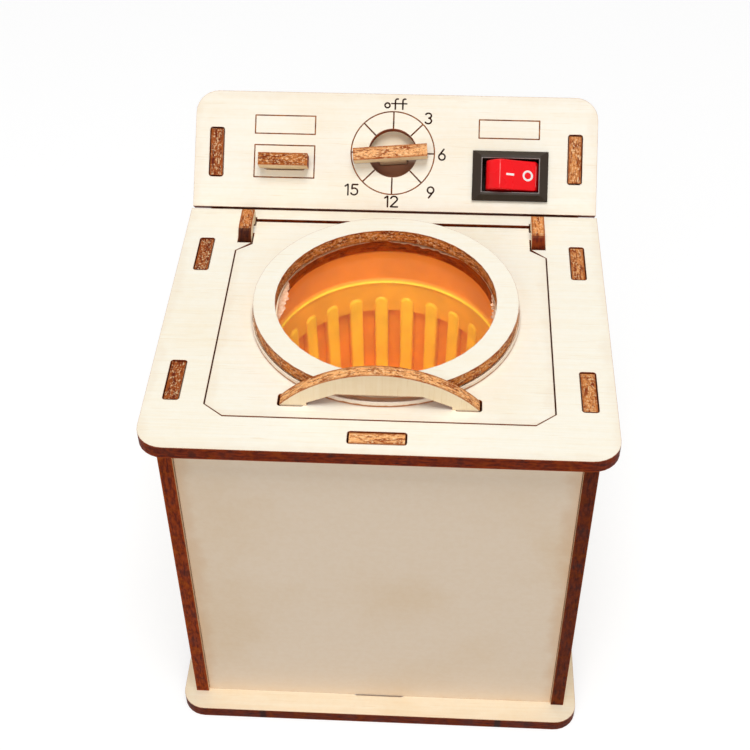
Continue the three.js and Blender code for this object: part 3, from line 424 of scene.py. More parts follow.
class Nodes:
    """A short way to place and join nodes in one node tree."""

    def __init__(self, tree: Tree) -> None:
        """Keep the tree that the nodes go into."""
        self.tree = tree

    def fill(self, node: Node, inputs: dict) -> None:
        """Set the sockets of a node.

        Args:
            node: the node.
            inputs: for each socket, by name or number, a value, a colour's code or a socket to join to it.
        """
        for key, value in inputs.items():
            if isinstance(value, Socket):
                self.tree.links.new(value, node.inputs[key])
            else:
                node.inputs[key].default_value = srgb(value) if isinstance(value, str) else value

    def add(self, kind: str, inputs: dict | None = None, **settings: object) -> Node:
        """Place a node.

        Args:
            kind: the node's type in Blender.
            inputs: what its sockets get, as fill() takes it.
            settings: the node's own settings.

        Returns:
            The node.
        """
        node = self.tree.nodes.new(kind)
        for key, value in settings.items():
            setattr(node, key, value)
        self.fill(node, inputs or {})
        return node

    def where(self) -> Socket:
        """Give the coordinates of the object that is shaded."""
        return self.add("ShaderNodeTexCoord").outputs["Object"]

    def math(self, operation: str, first: object, second: object = 0.0, clamp: bool = False) -> Socket:
        """Work out one sum of two values, each a socket or a number, and clamp it where that is asked."""
        inputs = {0: first, 1: second}
        return self.add("ShaderNodeMath", inputs, operation=operation, use_clamp=clamp).outputs[0]

    def vector(self, operation: str, inputs: dict, result: str = "Vector") -> Socket:
        """Work out one sum of vectors and give the named result."""
        return self.add("ShaderNodeVectorMath", inputs, operation=operation).outputs[result]

    def dot(self, first: object, second: object) -> Socket:
        """Give the product of two directions: how far one lies along the other."""
        return self.vector("DOT_PRODUCT", {0: first, 1: second}, "Value")

    def less(self, value: object, amount: object) -> Socket:
        """Take an amount from a value."""
        return self.math("SUBTRACT", value, amount)

    def times(self, value: object, factor: object) -> Socket:
        """Multiply a value."""
        return self.math("MULTIPLY", value, factor)

    def span(
        self, value: object, low: object, high: object, to_low: float = 0.0, to_high: float = 1.0,
    ) -> Socket:
        """Carry a value smoothly from the span between low and high to the one between the last two."""
        inputs = {"Value": value, "From Min": low, "From Max": high, "To Min": to_low, "To Max": to_high}
        return self.add("ShaderNodeMapRange", inputs, interpolation_type="SMOOTHSTEP").outputs[0]

    def mix(self, share: object, first: object, second: object, blend: str = "MIX") -> Socket:
        """Mix two colours, each a socket or a code, by the share of the second."""
        inputs = {0: share, 6: first, 7: second}
        return self.add("ShaderNodeMix", inputs, data_type="RGBA", blend_type=blend).outputs[2]

    def layers(self, colour: object, layers: list[tuple]) -> Socket:
        """Lay colours over a first one, each where a pattern lets it through.

        Args:
            colour: the first colour.
            layers: for each layer its pattern, the pattern's span, the share at its two ends and the colour.

        Returns:
            The socket with the colour.
        """
        for *pattern, tone in layers:
            colour = self.mix(self.span(*pattern), colour, tone)
        return colour

    def noise(self, vector: object, scale: float, detail: float = 3.0, rough: float = 0.5) -> Socket:
        """Place a cloudy pattern with so many clouds to the unit, finer layers and strength of these."""
        inputs = {"Vector": vector, "Scale": scale, "Detail": detail, "Roughness": rough}
        return self.add("ShaderNodeTexNoise", inputs).outputs[0]

    def relief(self, height: Socket, depth: float, strength: float) -> Socket:
        """Give the direction of a surface with a pattern's relief, whose depth is in millimetres."""
        inputs = {"Height": height, "Distance": depth * MM, "Strength": strength}
        return self.add("ShaderNodeBump", inputs).outputs[0]

    def effect(self, group: Tree, inputs: dict) -> Node:
        """Place a shared effect and fill its inputs."""
        return self.add("ShaderNodeGroup", inputs, node_tree=group)


def new_group(
    name: str, sockets_in: dict[str, str], sockets_out: dict[str, str],
) -> tuple[Nodes, bpy.types.NodeOutputs, Node]:
    """Start a shader node group.

    Args:
        name: the group's name.
        sockets_in: its inputs by type: the names, parted by commas, of its Float, Color or Vector ones.
        sockets_out: its outputs in the same way.

    Returns:
        A Nodes for the group's tree, the sockets that its inputs come from and its output node.
    """
    tree = bpy.data.node_groups.new(name, "ShaderNodeTree")
    for direction, sockets in (("INPUT", sockets_in), ("OUTPUT", sockets_out)):
        for kind, names in sockets.items():
            for socket in names.split(", "):
                tree.interface.new_socket(name=socket, in_out=direction, socket_type=f"NodeSocket{kind}")
    nodes = Nodes(tree)
    return nodes, nodes.add("NodeGroupInput").outputs, nodes.add("NodeGroupOutput")


class SharedEffects:
    """The effects that more than one finish uses, each built once as a node group."""

    def __init__(self) -> None:
        """Build every group."""
        self.veneer = self._veneer()
        self.tan = self._tan()
        self.scorch = self._scorch()
        self.arris = self._arris()
        self.moulding = self._moulding()

    def _veneer(self) -> Tree:
        """Pale veneer: long thin streaks of grain over broad faint clouds.

        The grain is a noise drawn out along the grain. It, a broad noise and a fine one carry the
        colour towards a warmer tone, and the grain's sharp valleys are pores.

        Returns:
            The group, with the stretched and the plain coordinates, two tones and the strength of the
            figure as inputs.
        """
        nodes, given, result = new_group(
            "Veneer", {"Vector": "Stretched, Vector", "Color": "Pale, Warm", "Float": "Figure"},
            {"Color": "Color", "Float": "Height, Roughness"})
        grain = nodes.noise(given["Stretched"], 1.0, 4.0, 0.62)
        pores = nodes.noise(given["Stretched"], 2.7, 2.0, 0.7)
        clouds = nodes.span(nodes.noise(given["Vector"], 45.0, 3.0, 0.5), 0.45, 0.78, 0.0, 0.5)
        mottle = nodes.span(nodes.noise(given["Vector"], 900.0, 2.0, 0.6), 0.35, 0.65, 0.0, 0.14)
        streaked = nodes.times(nodes.span(grain, 0.30, 0.66, 0.45, 0.0), given["Figure"])
        warmth = nodes.math("ADD", nodes.math("ADD", clouds, mottle), streaked, True)
        tone = nodes.mix(warmth, given["Pale"], given["Warm"])
        dark = nodes.mix(1.0, tone, "#E8D2AE", "MULTIPLY")
        pored = nodes.times(nodes.span(pores, 0.26, 0.40, 0.4, 0.0), given["Figure"])
        lines, pits = nodes.span(grain, 0.30, 0.66), nodes.span(pores, 0.26, 0.40)
        nodes.fill(result, {
            "Color": nodes.mix(pored, tone, dark),
            "Height": nodes.math("ADD", nodes.times(lines, 0.6), nodes.times(pits, 0.4)),
            "Roughness": nodes.span(grain, 0.3, 0.7, 0.74, 0.6)})
        return nodes.tree

    def _tan(self) -> Tree:
        """Warm haze that the cut's heat has left on the veneer along a sheet's outer edges.

        The distance to the nearest outer edge is half the sheet's size less the distance from its
        middle, the smaller of the two directions, with a cloud added to make it uneven.

        Returns:
            The group, with the coordinates, the sheet's two directions, its middle and half its size and
            the haze's reach as inputs.
        """
        nodes, given, result = new_group(
            "Heat Haze", {
                "Vector": "Vector, Across, Up",
                "Float": "Middle Across, Middle Up, Half Across, Half Up, Reach"}, {"Float": "Mask"})
        inside = []
        for side in ("Across", "Up"):
            along = nodes.dot(given["Vector"], given[side])
            away = nodes.math("ABSOLUTE", nodes.less(along, given[f"Middle {side}"]))
            inside.append(nodes.less(given[f"Half {side}"], away))
        near = nodes.math("MINIMUM", *inside)
        cloud = nodes.less(nodes.noise(given["Vector"], 170.0, 3.0, 0.55), 0.5)
        uneven = nodes.math("ADD", near, nodes.times(cloud, nodes.times(given["Reach"], 2.4)))
        nodes.fill(result, {"Mask": nodes.span(uneven, 0.0, given["Reach"], 1.0, 0.0)})
        return nodes.tree

    def _scorch(self) -> Tree:
        """Laser-cut edge: dark char where it looks sideways, a lighter mottled tone where it looks up.

        The mask is one where the surface looks along the sheet and not out of its veneer. The distance
        through the sheet is the distance from its middle along the veneer's direction over its
        thickness: the core is dark, the margins are orange and the outermost line is tan. The streaks
        are a noise that is drawn out along the sheet and squeezed through it.

        Returns:
            The group, with the coordinates, the veneer's direction, the sheet's middle along it, its
            thickness, the tone where the cut looks up, the shade of the char and how far up a cut looks
            where that tone begins as inputs.
        """
        nodes, given, result = new_group(
            "Scorched Cut", {
                "Vector": "Vector, Facing", "Float": "Middle, Thickness, Rub Start",
                "Color": "Rubbed, Char"}, {"Float": "Mask, Height, Roughness", "Color": "Color"})
        vector, facing, upward_start = given["Vector"], given["Facing"], given["Rub Start"]
        direction = nodes.add("ShaderNodeTexCoord").outputs["Normal"]
        mask = nodes.span(nodes.math("ABSOLUTE", nodes.dot(direction, facing)), 0.55, 0.75, 1.0, 0.0)
        level = nodes.add("ShaderNodeSeparateXYZ", {0: direction}).outputs["Z"]
        upward = nodes.span(level, upward_start, nodes.math("ADD", upward_start, 0.25))
        through = nodes.dot(vector, facing)
        from_middle = nodes.less(through, given["Middle"])
        side = nodes.math("ABSOLUTE", nodes.math("DIVIDE", from_middle, given["Thickness"]))
        long_way = nodes.vector("SCALE", {0: vector, "Scale": 480.0})
        short_way = nodes.vector("SCALE", {0: facing, "Scale": nodes.times(through, 1500.0)})
        drawn = nodes.vector("ADD", {0: long_way, 1: short_way})
        streaks = nodes.noise(drawn, 1.0, 4.0, 0.66)
        specks, grit = nodes.noise(drawn, 2.6, 2.0, 0.7), nodes.noise(vector, 2300.0, 2.0, 0.7)
        fine = nodes.times(nodes.math("ADD", specks, grit), 0.5)
        patches = nodes.noise(vector, 330.0, 3.0, 0.6)
        edge = nodes.math("ADD", side, nodes.times(nodes.less(streaks, 0.5), 0.35))
        char = nodes.layers("#661E06", [
            (streaks, 0.36, 0.64, "#A04510"), (patches, 0.52, 0.72, 0.0, 0.6, "#B8611F"),
            (edge, 0.31, 0.47, 0.0, 0.45, "#B9500F"), (side, 0.45, 0.49, 0.0, 0.4, "#CF8C48"),
            (streaks, 0.30, 0.42, 0.8, 0.0, "#3A1104"), (patches, 0.28, 0.42, 0.7, 0.0, "#451605")])
        tone = given["Rubbed"]
        deep = nodes.mix(1.0, tone, "#9C6440", "MULTIPLY")
        bright = nodes.mix(0.75, tone, "#FFE2B0")
        rubbed = nodes.layers(deep, [
            (streaks, 0.38, 0.56, tone), (fine, 0.52, 0.61, 0.0, 0.85, bright),
            (fine, 0.38, 0.46, 0.85, 0.0, deep), (edge, 0.32, 0.48, 0.0, 0.7, "#A04E18")])
        nodes.fill(result, {
            "Color": nodes.mix(upward, nodes.mix(1.0, char, given["Char"], "MULTIPLY"), rubbed),
            "Mask": mask, "Height": nodes.math("ADD", fine, streaks),
            "Roughness": nodes.span(patches, 0.3, 0.7, 0.5, 0.72)})
        return nodes.tree

    def _arris(self) -> Tree:
        """A thin line along the corners of a piece.

        The mask is one where the direction of the surface, rounded over a small radius, departs from
        the flat one. On plywood the material makes it a burnt line, on the red rocker a painted highlight.

        Returns:
            The group, with the line's width in metres as its input.
        """
        nodes, given, result = new_group("Corner Line", {"Float": "Width"}, {"Float": "Mask"})
        flat = nodes.add("ShaderNodeNewGeometry").outputs["True Normal"]
        rounded = nodes.add("ShaderNodeBevel", {"Radius": given["Width"]}, samples=4).outputs[0]
        nodes.fill(result, {"Mask": nodes.span(nodes.dot(flat, rounded), 0.90, 0.995, 1.0, 0.0)})
        return nodes.tree

    def _moulding(self) -> Tree:
        """Moulded plastic: a faint change of tone, a fine orange peel and a roughness that wanders.

        Returns:
            The group, with the coordinates, the colour and the mean roughness as inputs.
        """
        nodes, given, result = new_group(
            "Moulded Skin", {"Vector": "Vector", "Color": "Color", "Float": "Roughness"},
            {"Color": "Color", "Float": "Roughness, Height"})
        cloud = nodes.noise(given["Vector"], 160.0, 3.0)
        shade = nodes.span(cloud, 0.3, 0.7, 0.93, 1.05)
        grey = nodes.add("ShaderNodeCombineColor", {0: shade, 1: shade, 2: shade}).outputs[0]
        wander = nodes.span(cloud, 0.3, 0.7, -0.05, 0.06)
        nodes.fill(result, {
            "Color": nodes.mix(1.0, given["Color"], grey, "MULTIPLY"),
            "Roughness": nodes.math("ADD", given["Roughness"], wander, True),
            "Height": nodes.noise(given["Vector"], 2200.0, 2.0)})
        return nodes.tree


EFFECTS = SharedEffects()


def new_material(name: str) -> tuple[Material, Nodes, Node]:
    """Start a material with one plain surface shader.

    Args:
        name: the material's name.

    Returns:
        The material, a Nodes for its tree and its surface shader.
    """
    material = bpy.data.materials.new(name)
    material.use_nodes = True
    material.node_tree.nodes.clear()
    nodes = Nodes(material.node_tree)
    shader = nodes.add("ShaderNodeBsdfPrincipled")
    nodes.add("ShaderNodeOutputMaterial", {"Surface": shader.outputs[0]})
    return material, nodes, shader


def points_of(mesh: bpy.types.Mesh) -> np.ndarray:
    """Give the points of a mesh, in metres.

    Args:
        mesh: the mesh.

    Returns:
        An array of points.
    """
    points = np.empty(len(mesh.vertices) * 3, dtype=np.float32)
    mesh.vertices.foreach_get("co", points)
    return points.reshape(-1, 3)


def corners(node: str) -> np.ndarray:
    """Give the corner points of a solid of the frame, in metres."""
    return points_of(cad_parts[node].data).astype(float)


# Finishes


@dataclass(frozen=True)
class PlyFinish:
    """Bare plywood with laser-cut edges."""

    facing: Facing  # the direction in which its veneer looks
    grain: Grain  # the direction in which its grain runs
    pale: str = "#FFFAEB"  # the veneer's light tone
    warm: str = "#FCF0D6"  # the veneer's warm tone
    rubbed: str = "#D3925B"  # the tone of the cuts that look up
    upward_start: float = 0.35  # how far up a cut looks where the upward tone begins
    haze: float = 0.12  # how strongly the veneer is tanned near the sheet's outer edges
    reach: float = 2.0  # how far in that haze goes, in millimetres
    figure: float = 0.75  # how strongly the grain shows
    char: str = "#FFFFFF"  # the shade that the dark cuts are multiplied by
    burns: tuple[float, ...] = ()  # places along the grain where the cut is burnt black, in millimetres
    painted_lower_shade: float = 0.0  # how strongly painted shade, the pointer's shadow, browns the sheet's lower half

    def material(self, node: str) -> Material:
        """Build the material of one sheet.

        Args:
            node: the sheet, whose corner points give its middle, thickness and size.

        Returns:
            The material: veneer with a haze and a thin burnt line at its corners, and char on the cut.
        """
        facing, grain = np.array(self.facing.value), np.array(self.grain.value)
        spots = corners(node)
        low, high = (spots @ facing).min(), (spots @ facing).max()
        material, nodes, shader = new_material(f"plywood_{node}")
        where = nodes.where()
        stretched = nodes.add("ShaderNodeMapping", {"Vector": where, "Scale": self.grain.stretches()})
        veneer = nodes.effect(EFFECTS.veneer, {
            "Stretched": stretched.outputs[0], "Vector": where, "Pale": self.pale, "Warm": self.warm,
            "Figure": self.figure})
        scorch = nodes.effect(EFFECTS.scorch, {
            "Vector": where, "Facing": self.facing.value, "Middle": float(low + high) / 2.0,
            "Thickness": float(high - low), "Rubbed": self.rubbed, "Char": self.char,
            "Rub Start": self.upward_start})
        inputs = {"Vector": where, "Reach": self.reach * MM}
        for side, direction in (("Across", grain), ("Up", np.cross(facing, grain))):
            first, last = (spots @ direction).min(), (spots @ direction).max()
            inputs |= {side: tuple(map(float, direction)), f"Middle {side}": float(first + last) / 2.0,
                       f"Half {side}": float(last - first) / 2.0}
        haze = nodes.effect(EFFECTS.tan, inputs).outputs["Mask"]
        line = nodes.effect(EFFECTS.arris, {"Width": 0.2 * MM}).outputs["Mask"]
        tanned_and_shaded = nodes.mix(nodes.times(haze, self.haze), veneer.outputs["Color"], "#DDB284")
        # painted shadow: the sheet's lower half turns brown, standing in for the pointer's shadow on the disc
        if self.painted_lower_shade:
            upward = nodes.less(nodes.dot(where, inputs["Up"]), inputs["Middle Up"])
            tanned_and_shaded = nodes.layers(tanned_and_shaded, [(upward, -1.6 * MM, 0.4 * MM, self.painted_lower_shade, 0.0, "#8A4418")])
        lined = nodes.mix(nodes.times(line, 0.75), tanned_and_shaded, "#A9602A")
        glowing = nodes.mix(nodes.times(line, 0.35), scorch.outputs["Color"], "#B9581C")
        for spot in self.burns:
            away = nodes.math("ABSOLUTE", nodes.less(nodes.dot(where, self.grain.value), spot * MM))
            glowing = nodes.layers(glowing, [(away, 0.35 * MM, 0.9 * MM, 0.85, 0.0, "#240D08")])
        mask = scorch.outputs["Mask"]
        rough, height = (
            nodes.add("ShaderNodeMix", {0: mask, 2: veneer.outputs[name], 3: scorch.outputs[name]}).outputs[0]
            for name in ("Roughness", "Height"))
        nodes.fill(shader, {
            "Base Color": nodes.mix(mask, lined, glowing), "Roughness": rough,
            "Normal": nodes.relief(height, 0.05, 0.35), "Specular IOR Level": 0.12})
        return material


@dataclass(frozen=True)
class Finish:
    """A finish whose material is built once and then shared."""

    name: str  # the material's name

    def material(self) -> Material:
        """Give the material, which is built at the first call.

        Returns:
            The material.
        """
        known = bpy.data.materials.get(self.name)
        if known:
            return known
        material, nodes, shader = new_material(self.name)
        nodes.fill(shader, self.surface(nodes))
        return material

    def surface(self, nodes: Nodes) -> dict:
        """Give the inputs of the surface shader."""
        raise NotImplementedError


@dataclass(frozen=True)
class PlasticFinish(Finish):
    """Moulded plastic or insulation."""

    colour: str  # its colour
    roughness: float  # its mean roughness
    depth: float = 0.01  # the height of its orange peel in millimetres
    soft: float = 0.0  # how much light goes in and comes out again
    edge: str = ""  # the tone of a painted highlight along its corners, or nothing
    gloss: float = 0.5  # how strongly it mirrors
    peel: float = 0.4  # how much of the orange peel shows

    def tone(self, nodes: Nodes) -> object:
        """Give the colour before the skin changes it."""
        return self.colour

    def surface(self, nodes: Nodes) -> dict:
        """Lay the moulded skin over the colour, with a painted highlight along the corners where there is
        one.

        Args:
            nodes: the material's nodes.

        Returns:
            The inputs of the surface shader.
        """
        skin = nodes.effect(EFFECTS.moulding, {
            "Vector": nodes.where(), "Color": self.tone(nodes), "Roughness": self.roughness})
        colour = skin.outputs["Color"]
        if self.edge:
            line = nodes.effect(EFFECTS.arris, {"Width": 0.12 * MM}).outputs["Mask"]
            colour = nodes.mix(nodes.times(line, 0.7), colour, self.edge)
        inputs = {
            "Base Color": colour, "Roughness": skin.outputs["Roughness"], "Specular IOR Level": self.gloss,
            "Normal": nodes.relief(skin.outputs["Height"], self.depth, self.peel)}
        if self.soft:
            inputs |= {"Subsurface Weight": self.soft, "Subsurface Radius": (1.0, 0.45, 0.12),
                       "Subsurface Scale": 1.2 * MM}
        return inputs


@dataclass(frozen=True)
class TubFinish(PlasticFinish):
    """Plastic of the tub, with painted shade where the wall lies back and a painted highlight where it stands
    out.
    """

    # its tone where the painted light value is one; its colour, the painted shade, is the tone at nought
    pale: str = "#FFDC3A"

    def tone(self, nodes: Nodes) -> object:
        """Mix the two tones by the piece's painted light and shade value."""
        share = nodes.add("ShaderNodeAttribute", attribute_name="tone").outputs["Fac"]
        return nodes.mix(share, self.colour, self.pale)


@dataclass(frozen=True)
class MottledFinish(Finish):
    """Two tones that one cloudy pattern parts, as on bare metal, char or dried glue."""

    first: str  # the tone where the pattern is low
    second: object  # the tone where it is high, as a code or a colour
    pattern: Spot  # its clouds to the metre, their finer layers and the strength of these
    parting: FlatSpot  # where in the pattern the first tone ends and the second is full
    roughness: FlatSpot  # the roughness where the pattern is low and where it is high
    depth: float  # the height of the relief in millimetres
    relief: float  # how much of the relief shows
    # clouds to the metre and finer layers of the relief, or none for the same pattern
    grain: FlatSpot | None = None
    metallic: float = 0.0  # one for metal
    gloss: float = 0.5  # how strongly it mirrors

    def surface(self, nodes: Nodes) -> dict:
        """Let the tone and the roughness wander together, over a small relief.

        Args:
            nodes: the material's nodes.

        Returns:
            The inputs of the surface shader.
        """
        where = nodes.where()
        clouds = nodes.noise(where, *self.pattern)
        height = nodes.noise(where, *self.grain) if self.grain else clouds
        return {
            "Base Color": nodes.mix(nodes.span(clouds, *self.parting), self.first, self.second),
            "Roughness": nodes.span(clouds, 0.3, 0.7, *self.roughness), "Metallic": self.metallic,
            "Specular IOR Level": self.gloss, "Normal": nodes.relief(height, self.depth, self.relief)}


def bare_metal(name: str, colour: str) -> MottledFinish:
    """Give bare sheet metal or wire: faint smudges, duller and rougher than the rest.

    Args:
        name: the material's name.
        colour: the metal's colour.

    Returns:
        The finish.
    """
    dull = tuple(0.78 * value for value in srgb(colour)[:3]) + (1.0,)
    return MottledFinish(
        name, colour, dull, (240.0, 4.0, 0.6), (0.4, 0.7), (0.24, 0.42), 0.006, 0.4, (3000.0, 2.0), 1.0)


def burnt_line(name: str, dark: str, light: str) -> MottledFinish:
    """Give a line that the laser has burnt: brown char, lighter and darker along the line.

    Args:
        name: the material's name.
        dark: the line's dark tone.
        light: its light tone.

    Returns:
        The finish.
    """
    return MottledFinish(
        name, dark, light, (700.0, 3.0, 0.6), (0.35, 0.7), (0.7, 0.9), 0.02, 0.5, (2400.0, 3.0), gloss=0.1)


@dataclass(frozen=True)
class ClearFinish(Finish):
    """Clear acrylic sheet, which light passes on its way to what lies behind it."""

    tint: str  # the colour that it gives to what shows through
    ring_bounce: str = "#FFB478"  # the colour painted on it beside the ring for the brown light that the ring's burnt wall throws back
    rim: float = 24.5  # radius of the disc, in millimetres

    def material(self) -> Material:
        """Let the lamps' light pass the clear sheet without a shadow.

        Returns:
            The material.
        """
        material = super().material()
        nodes = Nodes(material.node_tree)
        known = {node.type: node for node in nodes.tree.nodes}
        clear = nodes.add("ShaderNodeBsdfTransparent", {"Color": self.tint}).outputs[0]
        shadow = nodes.add("ShaderNodeLightPath").outputs["Is Shadow Ray"]
        plain = known["BSDF_PRINCIPLED"].outputs[0]
        mixed = nodes.add("ShaderNodeMixShader", {0: shadow, 1: plain, 2: clear}).outputs[0]
        nodes.fill(known["OUTPUT_MATERIAL"], {"Surface": mixed})
        return material

    def surface(self, nodes: Nodes) -> dict:
        """Make it clear and glossy, with a painted brown tint beside the ring for the light that its burnt
        wall throws back.

        Args:
            nodes: the material's nodes.

        Returns:
            The inputs of the surface shader.
        """
        ring = corners("lid_ring")
        middle = (ring.min(axis=0) + ring.max(axis=0)) / 2.0
        away = nodes.vector("SUBTRACT", {0: nodes.where(), 1: tuple(map(float, middle))})
        flat = nodes.vector("MULTIPLY", {0: away, 1: (1.0, 1.0, 0.0)})
        radius = nodes.vector("LENGTH", {0: flat}, "Value")
        edge = float(np.ptp(ring[:, 0])) / 2.0
        fading = nodes.span(radius, edge - 0.5 * MM, self.rim * MM, 0.9, 0.15)
        # painted light: a warm tint on the glass just outside the ring, for the light bounced off the ring's
        # wall
        bounce_share = nodes.math("MINIMUM", fading, nodes.span(radius, edge - 0.6 * MM, edge - 0.3 * MM))
        return {"Base Color": nodes.mix(bounce_share, self.tint, self.ring_bounce), "Roughness": 0.02, "IOR": 1.2,
                "Transmission Weight": 1.0}


@dataclass(frozen=True)
class RimFinish(Finish):
    """The laser-cut rim of the acrylic window, pale, with a brown line of painted shade at its lower edge."""

    pale: str = "#F4E2CC"  # the rim's tone
    burnt: str = "#B0682A"  # the painted shade at its lower edge
    low: float = CASE_HEIGHT + 0.42  # height at which the brown line ends, in millimetres

    def surface(self, nodes: Nodes) -> dict:
        """Part the two tones by height, with a cloud between them.

        Args:
            nodes: the material's nodes.

        Returns:
            The inputs of the surface shader.
        """
        where = nodes.where()
        level = nodes.add("ShaderNodeSeparateXYZ", {0: where}).outputs["Z"]
        cloud = nodes.times(nodes.less(nodes.noise(where, 700.0), 0.5), 0.5 * MM)
        level = nodes.math("ADD", level, cloud)
        upper = nodes.span(level, (self.low - 0.12) * MM, (self.low + 0.12) * MM)
        return {"Base Color": nodes.mix(upper, self.burnt, self.pale),
                "Roughness": nodes.span(nodes.noise(where, 900.0), 0.3, 0.7, 0.2, 0.4)}


TUB_ORANGE = TubFinish("tub_orange", "#F2982A", 0.36, 0.004, gloss=0.25, peel=0.3)
SWITCH_BLACK = PlasticFinish("switch_black", "#31261C", 0.45, 0.008, gloss=0.25)
# a painted highlight along the switch frame's crest
BEZEL_HIGHLIGHT = PlasticFinish("bezel_line", "#A49E9A", 0.3, 0.003)
# a painted highlight along the rocker's crests
CREST_HIGHLIGHT = PlasticFinish("rocker_crest", "#FF8C88", 0.3, 0.003)
POINTER_GLUE = PlasticFinish("pointer_glue", "#9A6A3E", 0.35, 0.02)
# its pale edge tone is a painted highlight along the rocker's corners
SWITCH_RED = PlasticFinish("switch_red", "#FC0D18", 0.3, 0.003, 0.05, "#FF7A76", 0.25)
MARK_WHITE = PlasticFinish("mark_white", "#F7F2EE", 0.5, 0.004)
BOX_BLACK = PlasticFinish("box_black", "#26241F", 0.5, 0.012)
NYLON_WHITE = PlasticFinish("nylon_white", "#EEEBE4", 0.45, 0.008, 0.1)
CELL_GREEN = PlasticFinish("cell_green", "#2B5A41", 0.3, 0.003)
WIRE_RED = PlasticFinish("wire_red", "#C41C1A", 0.45, 0.004)
WIRE_BLACK = PlasticFinish("wire_black", "#1D1C1B", 0.45, 0.004)
STEEL = bare_metal("bright_steel", "#C9CBCD")
BRASS = bare_metal("tag_brass", "#DDBE78")
WHITE_GLUE = MottledFinish(
    "white_glue", "#B98D70", "#CDB2A0", (1500.0, 4.0, 0.7), (0.35, 0.65), (0.3, 0.55), 0.15, 0.8)
FINE_LINE = burnt_line("burnt_fine_line", "#6C3512", "#A8662E")
STROKE = burnt_line("burnt_stroke", "#1E0A03", "#43200C")
RAY = burnt_line("burnt_ray", "#3E1A08", "#7A4018")


def dress(piece: Piece, material: Material) -> None:
    """Give a piece one material in place of any that it has."""
    piece.data.materials.clear()
    piece.data.materials.append(material)


def add_piece(
    piece: Piece, finish: Finish, body: Body, stands_for: tuple[str, ...] = (),
) -> None:
    """Dress a new piece, hang it on its body and say what it stands for.

    Args:
        piece: the new object, at the origin.
        finish: a finish, whose material it gets.
        body: the body that it rides on.
        stands_for: the solids that it replaces.
    """
    dress(piece, finish.material())
    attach(piece, body.value)
    if stands_for:
        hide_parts(*stands_for)
    LOG.info("%s: %d faces on %s", piece.name, len(piece.data.polygons), body.value)


def dress_node(node: str, material: Material) -> None:
    """Give a solid of the frame its finish.

    Args:
        node: the solid's name.
        material: the material of its finish.
    """
    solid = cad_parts[node]
    for slot in solid.material_slots:
        slot.material = material
    if not solid.material_slots:
        solid.data.materials.append(material)
    LOG.info("%s: %s", node, material.name)


# Sub-assemblies


@dataclass
class Plywood:
    """Every sheet of plywood: the case, its shelves, the lid's sheets and what stands on the console."""

    # the finish of each sheet
    sheets: dict[str, PlyFinish] = field(default_factory=lambda: {
        "base_plate": PlyFinish(
            Facing.FLAT, Grain.ACROSS, "#F8EAD0", "#F2DAB4", char="#B8A08C", burns=(-23.2, 23.9)),
        "top_panel": PlyFinish(Facing.FLAT, Grain.ACROSS, char="#D8BCB4"),
        **dict.fromkeys(
            ("lid_panel", "tub_deck", "motor_plate", "motor_cradle"), PlyFinish(Facing.FLAT, Grain.ACROSS)),
        # the ring's cut walls all take the lighter tone of upward cuts: painted light for the light falling
        # on them
        "lid_ring": PlyFinish(
            Facing.FLAT, Grain.ACROSS, rubbed="#DC8840", upward_start=-0.6, haze=0.05, reach=1.0),
        "left_side_panel": PlyFinish(
            Facing.SIDE, Grain.UPRIGHT, "#F6E4CA", "#EACFA8", "#A2521F", haze=0.5, figure=0.5,
            char="#EEDCCB"),
        "right_side_panel": PlyFinish(
            Facing.SIDE, Grain.UPRIGHT, "#F6E4CA", "#EACFA8", "#D88C4E", haze=0.5, figure=0.5,
            char="#AFA089"),
        "left_hinge_rail": PlyFinish(
            Facing.SIDE, Grain.DEEP, "#F6E2C4", "#EACFA8", "#E08844", upward_start=0.8, char="#80807A"),
        "right_hinge_rail": PlyFinish(
            Facing.SIDE, Grain.DEEP, "#F6E2C4", "#EACFA8", "#F9A65E", upward_start=0.8, char="#C4A494"),
        "front_panel": PlyFinish(
            Facing.UPRIGHT, Grain.ACROSS, "#F6E2CA", "#ECD0AC", "#FFBC7A", haze=0.35, reach=3.0,
            figure=0.1),
        "back_panel": PlyFinish(
            Facing.UPRIGHT, Grain.ACROSS, "#F4E0CA", "#EAD0AE", haze=0.35, reach=3.0, figure=0.25),
        "lid_handle": PlyFinish(
            Facing.UPRIGHT, Grain.UPRIGHT, "#FBE8C8", "#F2DAB0", "#FFB974", figure=0.9),
        "console_panel": PlyFinish(Facing.LEANING, Grain.ACROSS, "#FCF6E8", "#F9ECD4"),
        # the disc's lower half carries the pointer's shadow as painted shade
        "timer_disc": PlyFinish(Facing.LEANING, Grain.ACROSS, "#FFF6E0", "#FFE8C4", painted_lower_shade=0.88),
        "drawer_pull": PlyFinish(Facing.PULL, Grain.ACROSS, "#F2DDB8", "#E2C293", "#C87838", haze=0.3),
        "timer_pointer": PlyFinish(
            Facing.POINTER, Grain.ACROSS, "#F2DDB8", "#E2C293", "#F9B677", haze=0.3),
    })

    def build(self) -> None:
        """Dress every sheet."""
        for node, finish in self.sheets.items():
            dress_node(node, finish.material(node))


